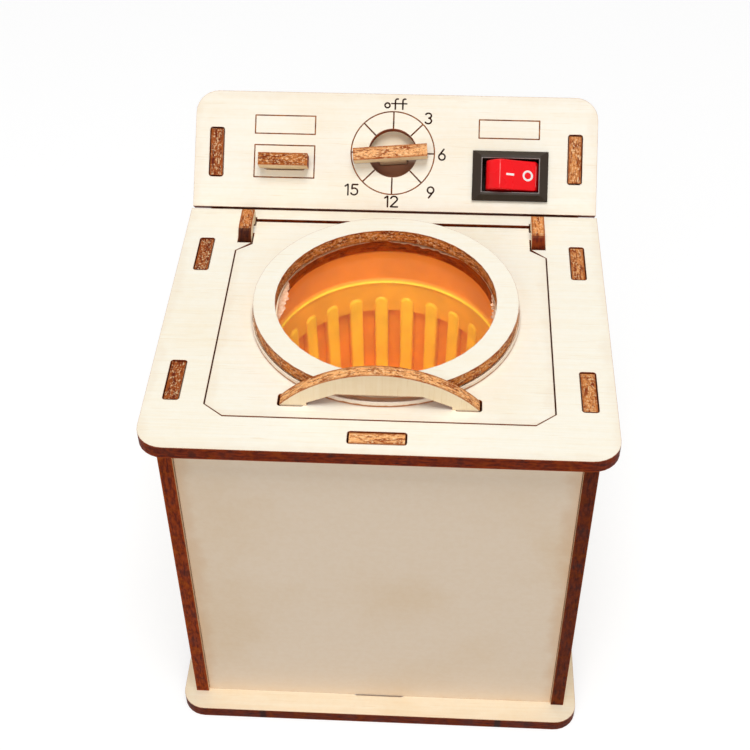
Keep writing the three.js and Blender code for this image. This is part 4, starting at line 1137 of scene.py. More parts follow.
@dataclass
class Lid:
    """The window in the lid and the glue around it."""

    window_depth: float = 35.5  # depth of the window's middle
    window_radius: float = 24.5  # radius of the window
    window_bottom: float = CASE_HEIGHT + 0.03  # height of its lower side
    window_top: float = CASE_HEIGHT + 1.17  # height of its upper side
    window_soft: float = 0.12  # radius of its two edges
    rim_width: float = 0.18  # width of its cut rim
    rim_gap: float = 0.01  # gap between the rim and the disc in it
    hole_depth: float = 36.7  # depth of the middle of the lid's hole
    hole_radius: float = 20.0  # radius of the hole
    # each smear of glue: first and last angle in degrees, widest reach and wander
    smears: tuple[tuple[float, float, float, float], ...] = (
        (160.0, 192.0, 1.5, 0.35), (-12.0, 14.0, 0.6, 0.4), (48.0, 92.0, 0.55, 0.35),
        (100.0, 160.0, 0.2, 0.1))
    ripples: FlatSpot = (47.0, 19.0)  # how fast the two waves of a smear's wander run
    glue_top: float = CASE_HEIGHT + 0.02  # height of the glue's upper side, just under the window
    glue_thickness: float = 0.35  # thickness of the glue

    def build(self) -> None:
        """Make the window and add the glue."""
        clear, cut = ClearFinish("clear_acrylic", "#FDF7F0"), RimFinish("cut_acrylic")
        add_piece(self._disc(), clear, Body.LID, ("lid_window",))
        add_piece(self._rim(), cut, Body.LID, ("lid_window",))
        add_piece(self._glue(), WHITE_GLUE, Body.LID)

    def _disc(self) -> Piece:
        """Make the window's disc, whose two edges are quarter circles, turned about its middle.

        Returns:
            The disc, with rows close to its edges so that its faces shade flat.
        """
        low, high, soft = self.window_bottom, self.window_top, self.window_soft
        radius = self.window_radius - self.rim_width - self.rim_gap
        inner = radius - soft
        lower = [(inner + soft * math.sin(a), low + soft - soft * math.cos(a)) for a in quarter(5)]
        upper = [(inner + soft * math.cos(a), high - soft + soft * math.sin(a)) for a in quarter(5)]
        flat = [0.0, radius / 2.0, inner - 0.05]
        profile = [(r, low) for r in flat] + lower + upper + [(r, high) for r in flat[::-1]]
        radius, level = np.array(profile).T[:, :, None]
        points = around(radius, circle(128), level, self.window_depth)
        return grid_object("lid_glass", points, wrap_columns=True)

    def _rim(self) -> Piece:
        """Make the window's cut rim: a thin band around the disc, closed over its top and bottom edges.

        Its section is a ring of points: the inner wall, and the outer wall with both edges rounded.

        Returns:
            The rim.
        """
        low, high, soft = self.window_bottom, self.window_top, self.window_soft
        inner, outer = self.window_radius - self.rim_width, self.window_radius
        section = [
            (inner, low), (outer - soft, low), (outer - soft / 3.0, low + soft / 3.0),
            (outer, low + soft), (outer, high - soft), (outer - soft / 3.0, high - soft / 3.0),
            (outer - soft, high), (inner, high)]
        radius, level = np.array(section).T[:, :, None]
        points = around(radius, circle(160), level, self.window_depth)
        return grid_object("lid_glass_rim", points, wrap_columns=True, wrap_rows=True, crease=50.0)

    def _glue(self) -> Piece:
        """Make the smears that hang over the hole's edge.

        A smear is a grid of angle and way round a flat section: it starts at the hole's edge and reaches
        inwards by its widest reach times half a sine wave of the angle, plus a wander of faster sines.

        Returns:
            The smears as one piece.
        """
        parts = []
        for number, (first, last, reach, wander) in enumerate(self.smears):
            share = np.linspace(0.0, 1.0, 90)
            angle = np.radians(first + (last - first) * share)
            swell = np.sin(np.pi * share)
            fast, slow = self.ripples
            ripple = np.sin(fast * share + number) * 0.5 + np.sin(slow * share + 2.0 * number) * 0.5
            inward = np.maximum(reach * swell ** 0.6 + wander * swell * ripple, 0.02)
            section = circle(14)
            radius = self.hole_radius - inward[:, None] * (0.5 - 0.5 * np.cos(section))[None]
            drop = self.glue_thickness * (0.5 - 0.5 * np.sin(section))[None] * swell[:, None] ** 0.3
            points = around(radius, angle[:, None], self.glue_top - drop, self.hole_depth)
            parts.append(grid_object(f"smear_{number}", points[:, ::-1], wrap_columns=True, crease=60.0))
        return merged("window_glue", parts, 60.0)


@dataclass
class ConsoleDrawing:
    """What the laser has drawn on the console: the dial, its numerals and three label boxes."""

    lift: float = 0.012  # how far the drawing stands off the veneer
    dial: FlatSpot = (-0.45, 11.6)  # middle of the dial
    ring_radius: float = 8.34  # radius of the dial's ring
    hole_radius: float = 4.9  # radius of the hole that the rays start from
    fine: float = 0.26  # width of the fine lines
    ray: float = 0.3  # width of the rays
    stroke: float = 0.33  # width of the numerals' strokes
    numeral_height: float = 2.5  # height of a numeral
    # left, lower, right and upper side of each label box
    boxes: tuple[tuple[float, float, float, float], ...] = (
        (-28.19, 15.0, -16.12, 18.67), (-28.19, 6.17, -16.12, 12.67), (16.68, 15.0, 28.67, 18.67))
    # each numeral and its middle
    numerals: tuple[tuple[str, float, float], ...] = (
        ("3", 6.5, 18.73), ("6", 9.4, 11.47), ("9", 7.34, 3.88),
        ("1", -1.35, 1.83), ("2", 0.1, 1.83), ("1", -9.35, 4.03), ("5", -7.9, 4.03))
    word: FlatSpot = (-0.14, 21.48)  # middle of the word off
    letter_o: FlatSpot = (-1.66, -0.28)  # how far its first letter lies from that middle, across and up
    letter_o_size: FlatSpot = (0.5, 0.48)  # half that letter's width and height
    stems: FlatSpot = (-0.08, 1.42)  # how far the stems of its last two letters lie from the middle
    stem_ends: FlatSpot = (-1.0, 0.55)  # how far a stem goes down and up to its hook
    hook: float = 0.42  # radius of the hooks
    hook_up: float = 0.62  # how far up their middles lie
    bar: Spot = (-0.85, 2.2, 0.1)  # first and last end of the bar through both, and its height

    def build(self) -> None:
        """Draw everything and hang it on the case."""
        for name, lines, finish in (
            ("dial_ring", [self._ring()], FINE_LINE), ("dial_rays", self._rays(), RAY),
            ("dial_numerals", self._numerals() + self._word(), STROKE),
            ("label_boxes", self._boxes(), FINE_LINE),
        ):
            add_piece(merged(name, lines), finish, Body.CASE)

    def _line(self, name: str, path: np.ndarray, width: float, closed: bool = False) -> Piece:
        """Draw one line as a low rounded ridge with round ends.

        Across the line the ridge is half a sine wave high, and a flat underside closes it. At an open
        end the width and the height follow a half circle.

        Args:
            name: the line's name.
            path: points on the console, in millimetres.
            width: the line's width.
            closed: whether it ends where it starts.

        Returns:
            The line.
        """
        half = np.full(len(path), width / 2.0)
        if not closed:
            path = self._with_round_ends(path, width / 2.0)
            run = np.concatenate([[0.0], np.cumsum(np.linalg.norm(np.diff(path, axis=0), axis=1))])
            inside = np.clip(1.0 - np.minimum(run, run[-1] - run) / (width / 2.0), 0.0, 1.0)
            half = width / 2.0 * np.sqrt(np.maximum(1.0 - inside ** 2, 0.0)) + 1e-5
        share = np.linspace(-1.0, 1.0, 5)
        spots = path[:, None] - left_of(path, closed)[:, None] * (half[:, None] * share[None])[..., None]
        rise = self.lift * (0.3 + np.cos(share * QUARTER_TURN))[None] * half[:, None] / (width / 2.0)
        points = CONSOLE.points(spots[..., 0], spots[..., 1], rise).transpose(1, 0, 2)[::-1]
        return grid_object(name, points, wrap_columns=closed, wrap_rows=True, crease=80.0)

    @staticmethod
    def _with_round_ends(path: np.ndarray, reach: float) -> np.ndarray:
        """Lengthen an open path at both ends by points that crowd towards the tips.

        Args:
            path: flat points.
            reach: how far each end is lengthened.

        Returns:
            The longer path.
        """
        away = reach * np.sin(np.linspace(QUARTER_TURN, 0.0, 5, endpoint=False))[:, None]
        head = path[0] + away * unit(path[0] - path[1])
        tail = path[-1] + away[::-1] * unit(path[-1] - path[-2])
        return np.concatenate([head, path, tail])

    def _ring(self) -> Piece:
        """Draw the dial's ring: a full circle."""
        path = oval(self.dial, (self.ring_radius, self.ring_radius), circle(120))
        return self._line("ring", path, self.fine, closed=True)

    def _rays(self) -> list[Piece]:
        """Draw the eight rays from the hole to the ring, an eighth of a turn apart.

        Returns:
            The rays.
        """
        start, end = self.hole_radius + self.ray / 2.0, self.ring_radius - self.fine / 2.0
        spots, rays = np.linspace(start, end, 12)[:, None], []
        for number in range(8):
            angle = number * math.pi / 4.0
            path = np.array(self.dial) + spots * np.array([math.cos(angle), math.sin(angle)])
            rays.append(self._line(f"ray_{number}", path, self.ray))
        return rays

    def _boxes(self) -> list[Piece]:
        """Draw the three label boxes, each as four straight lines that meet at its corners.

        Returns:
            The lines.
        """
        lines = []
        for number, (left, low, right, high) in enumerate(self.boxes):
            ends = [(left, low), (right, low), (right, high), (left, high), (left, low)]
            for side, (start, end) in enumerate(zip(ends, ends[1:])):
                lines.append(self._line(f"box_{number}_{side}", straight(start, end, 20), self.fine))
        return lines

    def _numerals(self) -> list[Piece]:
        """Draw each numeral's strokes at its place.

        Returns:
            The strokes.
        """
        lines = []
        for number, (numeral, across, up) in enumerate(self.numerals):
            for part, stroke in enumerate(GLYPHS[numeral]):
                spots = stroke * self.numeral_height + np.array([across, up])
                lines.append(self._line(f"numeral_{number}_{part}", spots, self.stroke))
        return lines

    def _word(self) -> list[Piece]:
        """Draw the word off: a small ring, two hooked stems and one bar through both.

        Returns:
            The strokes.
        """
        across, up = self.word
        ring = oval((across + self.letter_o[0], up + self.letter_o[1]), self.letter_o_size, circle(40))
        lines = [self._line("letter_o", ring, self.stroke, closed=True)]
        for number, stem in enumerate(self.stems):
            bend = np.linspace(math.pi, QUARTER_TURN - 0.3, 14)
            middle = (across + stem + self.hook, up + self.hook_up)
            hook = oval(middle, (self.hook, self.hook), bend)
            low, high = self.stem_ends
            foot = straight((across + stem, up + low), (across + stem, up + high))
            lines.append(self._line(f"letter_f_{number}", np.concatenate([foot, hook]), self.stroke))
        left, right, level = self.bar
        bar = straight((across + left, up + level), (across + right, up + level), 20)
        lines.append(self._line("letter_bar", bar, self.stroke * 0.85))
        return lines


# The strokes of each numeral, about one high and with the origin in its middle. A 9 is a 6 turned round.
SIX = [arc((0.0, -0.17), (0.25, 0.25), 150.0, 510.0, 40), straight((-0.21, -0.03), (0.14, 0.44))]
GLYPHS = {
    "1": [np.concatenate([straight((-0.16, 0.28), (0.06, 0.43)), straight((0.07, 0.42), (0.07, -0.42))])],
    "2": [
        np.concatenate([
            arc((0.0, 0.2), (0.26, 0.22), 165.0, -25.0), straight((0.19, 0.05), (-0.26, -0.40))]),
        straight((-0.26, -0.42), (0.28, -0.42))],
    "3": [
        arc((-0.02, 0.22), (0.24, 0.20), 150.0, -80.0), arc((-0.02, -0.2), (0.26, 0.22), 80.0, -150.0)],
    "5": [
        np.concatenate([
            straight((0.26, 0.42), (-0.16, 0.42)), straight((-0.17, 0.40), (-0.20, 0.08))]),
        arc((-0.02, -0.14), (0.28, 0.27), 128.0, -150.0)],
    "6": SIX,
    "9": [-stroke for stroke in SIX],
}


@dataclass
class TimerGlue:
    """The glue that holds the pointer's tab at the back of the timer's disc."""

    middle: FlatSpot = (-0.45, 11.6)  # where the tab comes through, on the console
    behind: float = 5.3  # how far behind the console's face the disc's back lies
    size: FlatSpot = (4.6, 2.4)  # half its length and half its width
    height: float = 0.7  # how far it stands off the disc

    def build(self) -> None:
        """Make the glue and hang it on the timer."""
        add_piece(self._dab(), POINTER_GLUE, Body.TIMER)

    def _dab(self) -> Piece:
        """Make a low dome: an ellipse whose height falls as the root of one less the square outwards.

        Its rim wavers by two sines of the angle, and a flat underside closes it at the disc.

        Returns:
            The glue.
        """
        share = np.concatenate([np.linspace(0.0, 1.0, 14), [1.0, 0.0]])[:, None]
        angle = circle(60)[None]
        waver = 1.0 + 0.05 * np.sin(3.0 * angle + 0.6) + 0.03 * np.sin(7.0 * angle)
        level = self.height * np.sqrt(1.0 - share ** 2)
        level[-2:] = -0.02
        points = CONSOLE.turned(self.middle, TIMER_TURN).points(
            self.size[0] * share * waver * np.cos(angle), self.size[1] * share * waver * np.sin(angle),
            -self.behind - level)
        return outwards(grid_object("pointer_glue", points, wrap_columns=True, crease=60.0))


@dataclass
class RockerSwitch:
    """The switch: its frame, its rocker and the marks on the rocker."""

    spot: FlatSpot = (23.05, 7.4)  # middle of the switch on the console
    pivot_depth: float = 1.9  # how far the pivot lies behind the console's face
    radius: float = 5.8  # radius of the rocker's ends about the pivot
    half_top: float = 3.85  # half the length of the rocker's top
    dish: float = 0.22  # how far the top sinks in its middle
    half_width: float = 2.95  # half the rocker's width
    round_edge: float = 0.3  # radius of the edges along its two sides
    foot: float = 1.5  # how far it goes on below the pivot
    foot_half: float = 4.6  # half its length there
    arc_low: float = 15.0  # the angle over the pivot's level at which the end arcs begin, in degrees
    tilt: float = 20.0  # how far it leans at rest, in degrees
    opening: FlatSpot = (11.5, 7.0)  # width and height of the frame's opening
    bezel_top: float = 1.43  # how far the frame's crest stands off the console
    bead: float = 0.14  # radius of the painted highlight on that crest
    crest_highlight: float = 0.09  # radius of the painted highlight along each of the rocker's crests
    crest_drop: float = 0.12  # how far that line's middle lies under the sharp crest
    bar: Spot = (-1.6, 0.85, 0.42)  # middle, half length and width of the bar mark, along the rocker
    ring: Spot = (2.15, 0.88, 0.4)  # middle, radius and width of the ring mark

    def build(self) -> None:
        """Dress the frame and the tags, and make the rocker with its marks."""
        dress_node("switch_housing", SWITCH_BLACK.material())
        for tag in ("switch_tag_inner", "switch_tag_outer"):
            dress_node(tag, BRASS.material())
        add_piece(self._rocker(), SWITCH_RED, Body.ROCKER, ("switch_rocker",))
        # a painted highlight bead along the frame's opening
        add_piece(self._bezel_line(), BEZEL_HIGHLIGHT, Body.CASE)
        # painted highlight beads along the rocker's crests
        add_piece(merged("rocker_crests", self._crests()), CREST_HIGHLIGHT, Body.ROCKER)
        add_piece(merged("rocker_marks", self._marks()), MARK_WHITE, Body.ROCKER)

    def _points(self, along: np.ndarray, rise: np.ndarray, side: np.ndarray) -> np.ndarray:
        """Place points given on the level rocker: lean them about the pivot and set them in the console.

        Args:
            along: distance from the pivot along the rocker.
            rise: height over the pivot.
            side: distance from the middle across the rocker.

        Returns:
            Points in the frame, in metres.
        """
        angle = math.radians(self.tilt)
        across = along * math.cos(angle) + rise * math.sin(angle)
        out = rise * math.cos(angle) - along * math.sin(angle)
        return CONSOLE.points(self.spot[0] + across, self.spot[1] + side, out - self.pivot_depth)

    def _top(self, along: np.ndarray) -> np.ndarray:
        """Height of the dished top over the pivot at a distance along it."""
        crest = math.sqrt(self.radius ** 2 - self.half_top ** 2)
        return crest - self.dish * (1.0 - (along / self.half_top) ** 2)

    def _rocker(self) -> Piece:
        """Make the rocker: its outline carried across its width.

        The outline is the dished top, rounded at both crests, an arc about the pivot at each end and a
        wall that draws in below it. Towards each side it shrinks about its middle as a quarter circle
        does, which rounds the edges, and then draws in to a point on the flat side.

        Returns:
            The rocker.
        """
        top_angle, low_angle = math.acos(self.half_top / self.radius), math.radians(self.arc_low)
        right = np.linspace(low_angle, top_angle - 0.05, 16)
        end = self.radius * pairs(np.cos(right), np.sin(right))
        wall = straight((self.foot_half, -self.foot), tuple(end[0]), 8)[:-1]
        span = np.linspace(self.half_top * 0.95, -self.half_top * 0.95, 25)
        top = pairs(span, self._top(span))
        mirror = np.array([-1.0, 1.0])
        corner = np.array([self.half_top, self._top(np.array(self.half_top))])
        outline = np.concatenate([
            wall, end, soft_corner(end[-1], corner, top[0]), top,
            soft_corner(top[-1], corner * mirror, end[-1] * mirror), end[::-1] * mirror,
            wall[::-1] * mirror])
        side = self.half_width - self.round_edge * (1.0 - np.cos(quarter(6)))
        shrink = 1.0 - self.round_edge * (1.0 - np.sin(quarter(6))) / 3.0
        across = np.concatenate([[-self.half_width], -side, side[::-1], [self.half_width]])
        share = np.concatenate([[0.0], shrink, shrink[::-1], [0.0]])
        middle = np.array([0.0, 1.5])
        ring = middle + (outline - middle)[None] * share[:, None, None]
        width = np.broadcast_to(across[:, None], ring.shape[:2])
        points = self._points(ring[..., 0], ring[..., 1], width)
        return outwards(grid_object("rocker", points, wrap_columns=True, crease=50.0))

    def _crests(self) -> list[Piece]:
        """Make the painted highlight along each crest: a thin round bead that ends in tips.

        Returns:
            The two beads.
        """
        beads, share, turn = [], np.linspace(-1.0, 1.0, 25), circle(10)
        thick = self.crest_highlight * np.sqrt(np.clip(1.0 - share ** 8, 0.0, 1.0))[:, None]
        crest = self._top(np.array(self.half_top)) - self.crest_drop
        for end in (-1.0, 1.0):
            along = end * (self.half_top - 0.03) + thick * np.cos(turn)
            side = np.broadcast_to((share * (self.half_width - 0.35))[:, None], along.shape)
            points = self._points(along, crest + thick * np.sin(turn), side)
            beads.append(outwards(grid_object("crest", points, wrap_columns=True)))
        return beads

    def _bezel_line(self) -> Piece:
        """Make the painted highlight where the frame's slope meets its opening: a thin bead all round it.

        The bead's section is a small circle carried along a rectangle whose corners are rounded.

        Returns:
            The bead.
        """
        half_width, half_height, turn = self.opening[0] / 2.0, self.opening[1] / 2.0, 0.25
        path = np.concatenate([
            oval((x * (half_width - turn), y * (half_height - turn)), (turn, turn),
                 quarter(6) + i * np.pi / 2.0)
            for i, (x, y) in enumerate([(1, 1), (-1, 1), (-1, -1), (1, -1)])])
        spots = path[:, None] - left_of(path, True)[:, None] * (self.bead * np.cos(circle(10)))[:, None]
        rise = self.bezel_top + self.bead * np.sin(circle(10))
        points = CONSOLE.points(self.spot[0] + spots[..., 0], self.spot[1] + spots[..., 1], rise)
        return grid_object("bezel_bead", points[::-1], wrap_columns=True, wrap_rows=True, crease=60.0)

    def _marks(self) -> list[Piece]:
        """Make the bar on the raised end and the ring on the other, both just proud of the top.

        Returns:
            The two marks.
        """
        middle, half, width = self.bar
        path = pairs(middle + half * np.linspace(-1.0, 1.0, 9), np.zeros(9))
        bar = self._mark_strip("bar", path, width, False)
        middle, radius, width = self.ring
        path = oval((middle, 0.0), (radius, radius), circle(48))
        return [bar, self._mark_strip("ring", path, width, True)]

    def _mark_strip(self, name: str, path: np.ndarray, width: float, closed: bool) -> Piece:
        """Lay a strip of paint along a path on the dished top.

        Its flat section goes once round, over the top and back under it. An open strip ends in points.

        Args:
            name: the strip's name.
            path: distances along and across the rocker.
            width: the strip's width.
            closed: whether it ends where it starts.

        Returns:
            The strip.
        """
        over = np.linspace(-0.5, 0.5, 4)
        share, lift = np.concatenate([over, over[::-1]]), np.repeat([0.015, -0.02], 4)
        spots = path[:, None] - left_of(path, closed)[:, None] * (width * share)[None, :, None]
        points = self._points(spots[..., 0], self._top(spots[..., 0]) + lift, spots[..., 1])
        if not closed:
            tips = np.repeat(points[[0, -1]].mean(axis=1, keepdims=True), len(share), axis=1)
            points = np.concatenate([tips[:1], points, tips[1:]])
        strip = points.transpose(1, 0, 2)
        return outwards(grid_object(name, strip, wrap_columns=closed, wrap_rows=True, crease=50.0))


@dataclass
class WashTub:
    """The ribbed tub, its hub and the motor's shaft, which turn together."""

    depth: float = 35.2  # how far the tub's axis lies behind the front edge of the top panel
    rim: float = 72.7  # height of the rim
    bottom: float = 36.8  # height of the underside
    floor: float = 1.4  # thickness of the floor
    upper_bore: float = 22.3  # radius inside above the ledge
    ledge: float = 66.0  # height of the ledge
    band_bore: float = 21.45  # radius inside below the ledge
    ribs: int = 26  # number of ribs
    rib_face: float = 21.1  # radius of the ribs' faces
    rib_half: float = 1.32  # half the width of a rib
    rib_top: float = 62.0  # height of the ribs' tops
    rib_foot: float = 40.6  # height of the ribs' feet
    gap_bore: float = 22.4  # radius of the gaps between the ribs
    gap_half: float = 1.16  # half the width of a gap
    gap_top: float = 58.6  # height of the gaps' tops
    taper: float = 0.75  # how far the wall leans in from the gaps' tops down to the ribs' feet
    outer: float = 23.45  # radius outside
    flange: float = 23.9  # radius of the rim outside
    turn_share: float = 0.37  # how far the first rib is turned, as a share of the distance between two
    floor_tone: float = 0.15  # how pale the floor is
    ledge_edge: float = 21.3  # radius inside of the ledge's rounded edge
    gap_slope: float = 0.1  # width of the slope at a gap's sides
    gap_top_slope: float = 0.08  # height of the slope at its top
    foot_slope: float = 0.2  # height of the slope at the ribs' feet
    floor_rows: Spot = (0.0, 6.0, 14.0)  # radii of the rows on the flat of the floor
    # how far the rows of the floor's rounded edge lie in from the wall, and how high
    foot_rows: tuple[FlatSpot, ...] = ((1.8, 0.0), (0.9, 0.08), (0.3, 0.28))
    boss: float = 12.0  # radius of the flat middle under the floor

    def build(self) -> None:
        """Make the tub and dress its hub and shaft."""
        add_piece(self._shell(), TUB_ORANGE, Body.TUB, ("wash_tub",))
        dress_node("tub_hub", NYLON_WHITE.material())
        dress_node("motor_shaft", STEEL.material())

    def _lean(self, height: np.ndarray) -> np.ndarray:
        """How far the wall leans in at a height."""
        share = (self.gap_top - height) / (self.gap_top - self.rib_foot)
        return self.taper * np.clip(share, 0.0, 1.0)

    def _bore(self, across: np.ndarray, height: np.ndarray) -> np.ndarray:
        """Radius of the inside below the ledge.

        The rib's face stands in from the band by the root of one minus the fourth power of the distance
        from the rib's middle, so its sides are steep and its top is a dome. Below the gaps' tops the wall
        between two ribs goes back to the gap's radius over a short slope. All of it leans in downwards.

        Args:
            across: distance from the middle of the nearest rib, in millimetres along the wall.
            height: height over the table.

        Returns:
            The radius.
        """
        pitch = 2.0 * np.pi * self.rib_face / self.ribs
        dome = np.maximum(0.0, height - (self.rib_top - self.rib_half))
        far = np.clip(np.hypot(across, dome) / self.rib_half, 0.0, 1.0)
        rib = (self.band_bore - self.rib_face) * np.sqrt(np.clip(1.0 - far ** 4, 0.0, 1.0))
        gap_edge = self.gap_half + self.gap_slope / 2.0
        inside = np.clip((gap_edge - (pitch / 2.0 - np.abs(across))) / self.gap_slope, 0.0, 1.0)
        below = np.clip((self.gap_top - height) / self.gap_top_slope, 0.0, 1.0)
        above_foot = np.clip((height - self.rib_foot) / self.foot_slope, 0.0, 1.0)
        recess = (self.gap_bore - self.band_bore) * inside * below * above_foot
        return self.band_bore - rib * above_foot + recess - self._lean(height)

    def _shell(self) -> Piece:
        """Make the whole tub as one closed grid of angle and way round its section.

        The way starts at the axis on the floor, climbs the inside, crosses the rim, comes down the
        outside and ends at the axis under the floor, where the hub's boss fills the middle.

        Returns:
            The tub.
        """
        pitch = 2.0 * np.pi * self.rib_face / self.ribs
        edge, half = pitch / 2.0 - self.gap_half, pitch / 2.0
        stations = np.concatenate([
            np.linspace(0.0, self.rib_half * 0.9, 7), np.linspace(self.rib_half * 0.94, self.rib_half, 3),
            [edge - 0.04, edge + 0.06], np.linspace(edge + 0.2, half, 4)])
        across = np.concatenate([-stations[::-1][:-1], stations])[1:]
        turn = (across[None] / pitch + np.arange(self.ribs)[:, None] + self.turn_share + 0.5).reshape(-1)
        angle = turn * 2.0 * np.pi / self.ribs
        floor_top, foot, gap, rib = self.bottom + self.floor, self.rib_foot, self.gap_top, self.rib_top
        heights = np.concatenate([
            np.linspace(floor_top + 0.45, foot, 3), [foot + self.foot_slope],
            np.linspace(foot + 1.0, gap - 0.4, 12), [gap - self.gap_top_slope, gap, gap + 0.25],
            np.linspace(rib - self.rib_half, rib, 10), [rib + 0.3, rib + 1.2]])
        wall = self._bore(np.tile(across, self.ribs)[None], heights[:, None])
        inner = self.band_bore - self.taper
        floor = [(radius, floor_top) for radius in self.floor_rows]
        floor += [(inner - inset, floor_top + rise) for inset, rise in self.foot_rows]
        sine, cosine = np.sin(quarter(6)), np.cos(quarter(6))
        ledge = np.concatenate([
            pairs(self.ledge_edge + 0.15 * sine[::-1], self.ledge - 0.9 + 0.12 * np.arange(6)),
            pairs(self.ledge_edge + 0.35 * (1.0 - cosine), self.ledge - 0.25 + 0.25 * sine),
            pairs(self.upper_bore - 0.45 + 0.45 * sine, self.ledge + 0.45 * (1.0 - cosine) + 0.01)])
        outer, foot_outer = self.outer, self.outer - self.taper
        outside = [
            (self.upper_bore, self.rim - 3.0), (self.upper_bore, self.rim - 0.12),
            (self.upper_bore + 0.12, self.rim), (self.flange - 0.3, self.rim),
            (self.flange, self.rim - 0.3), (self.flange, self.rim - 1.2), (outer, self.rim - 1.2),
            (outer, self.rim - 1.4), (outer, gap), (foot_outer, self.bottom + 1.8),
            (foot_outer - 0.45, self.bottom + 0.45), (foot_outer - 1.8, self.bottom),
            (self.boss, self.bottom), (0.0, self.bottom)]
        rows = [*floor, *zip(wall, heights), *ledge, *outside]
        radius = np.array([np.broadcast_to(row[0], angle.shape) for row in rows])
        level = np.array([row[1] for row in rows])[:, None]
        points = around(radius, angle, level, self.depth)
        piece = grid_object("tub_shell", points[::-1], wrap_columns=True, crease=38.0)
        self._tone(piece)
        return piece

    def _tone(self, piece: Piece) -> None:
        """Store on each point how pale the plastic is there, as painted light and shade.

        Below the ledge it follows how far the point stands in from the band: nothing in the gaps, painted
        shade in the recesses; half on the band; all on the ribs, a painted highlight where they stand out.
        On the floor it is even. It is high on the ledge's edge, a painted highlight, and low behind and
        above it, painted shade under the lid.

        Args:
            piece: the tub.
        """
        spots = points_of(piece.data) / MM + np.array([0.0, SETBACK - self.depth, 0.0])
        radius, height = np.hypot(spots[:, 0], spots[:, 1]), spots[:, 2]
        inwards = self.band_bore - self._lean(height) - radius
        # painted shade in the gaps, painted highlight on the ribs
        tone = np.interp(inwards, [-0.9, -0.1, 0.0, 0.33], [0.1, 0.42, 0.5, 1.0])
        tone = np.where(height < self.rib_foot - 0.1, self.floor_tone, tone)
        # painted highlight on the ledge's edge, painted shade on the wall above it
        on_ledge = np.interp(radius, [21.5, 21.8, 22.2], [0.95, 0.3, 0.0])
        tone = np.where(height > self.ledge - 0.35, on_ledge, tone)
        values = piece.data.attributes.new("tone", "FLOAT", "POINT").data
        values.foreach_set("value", tone.astype(np.float32))


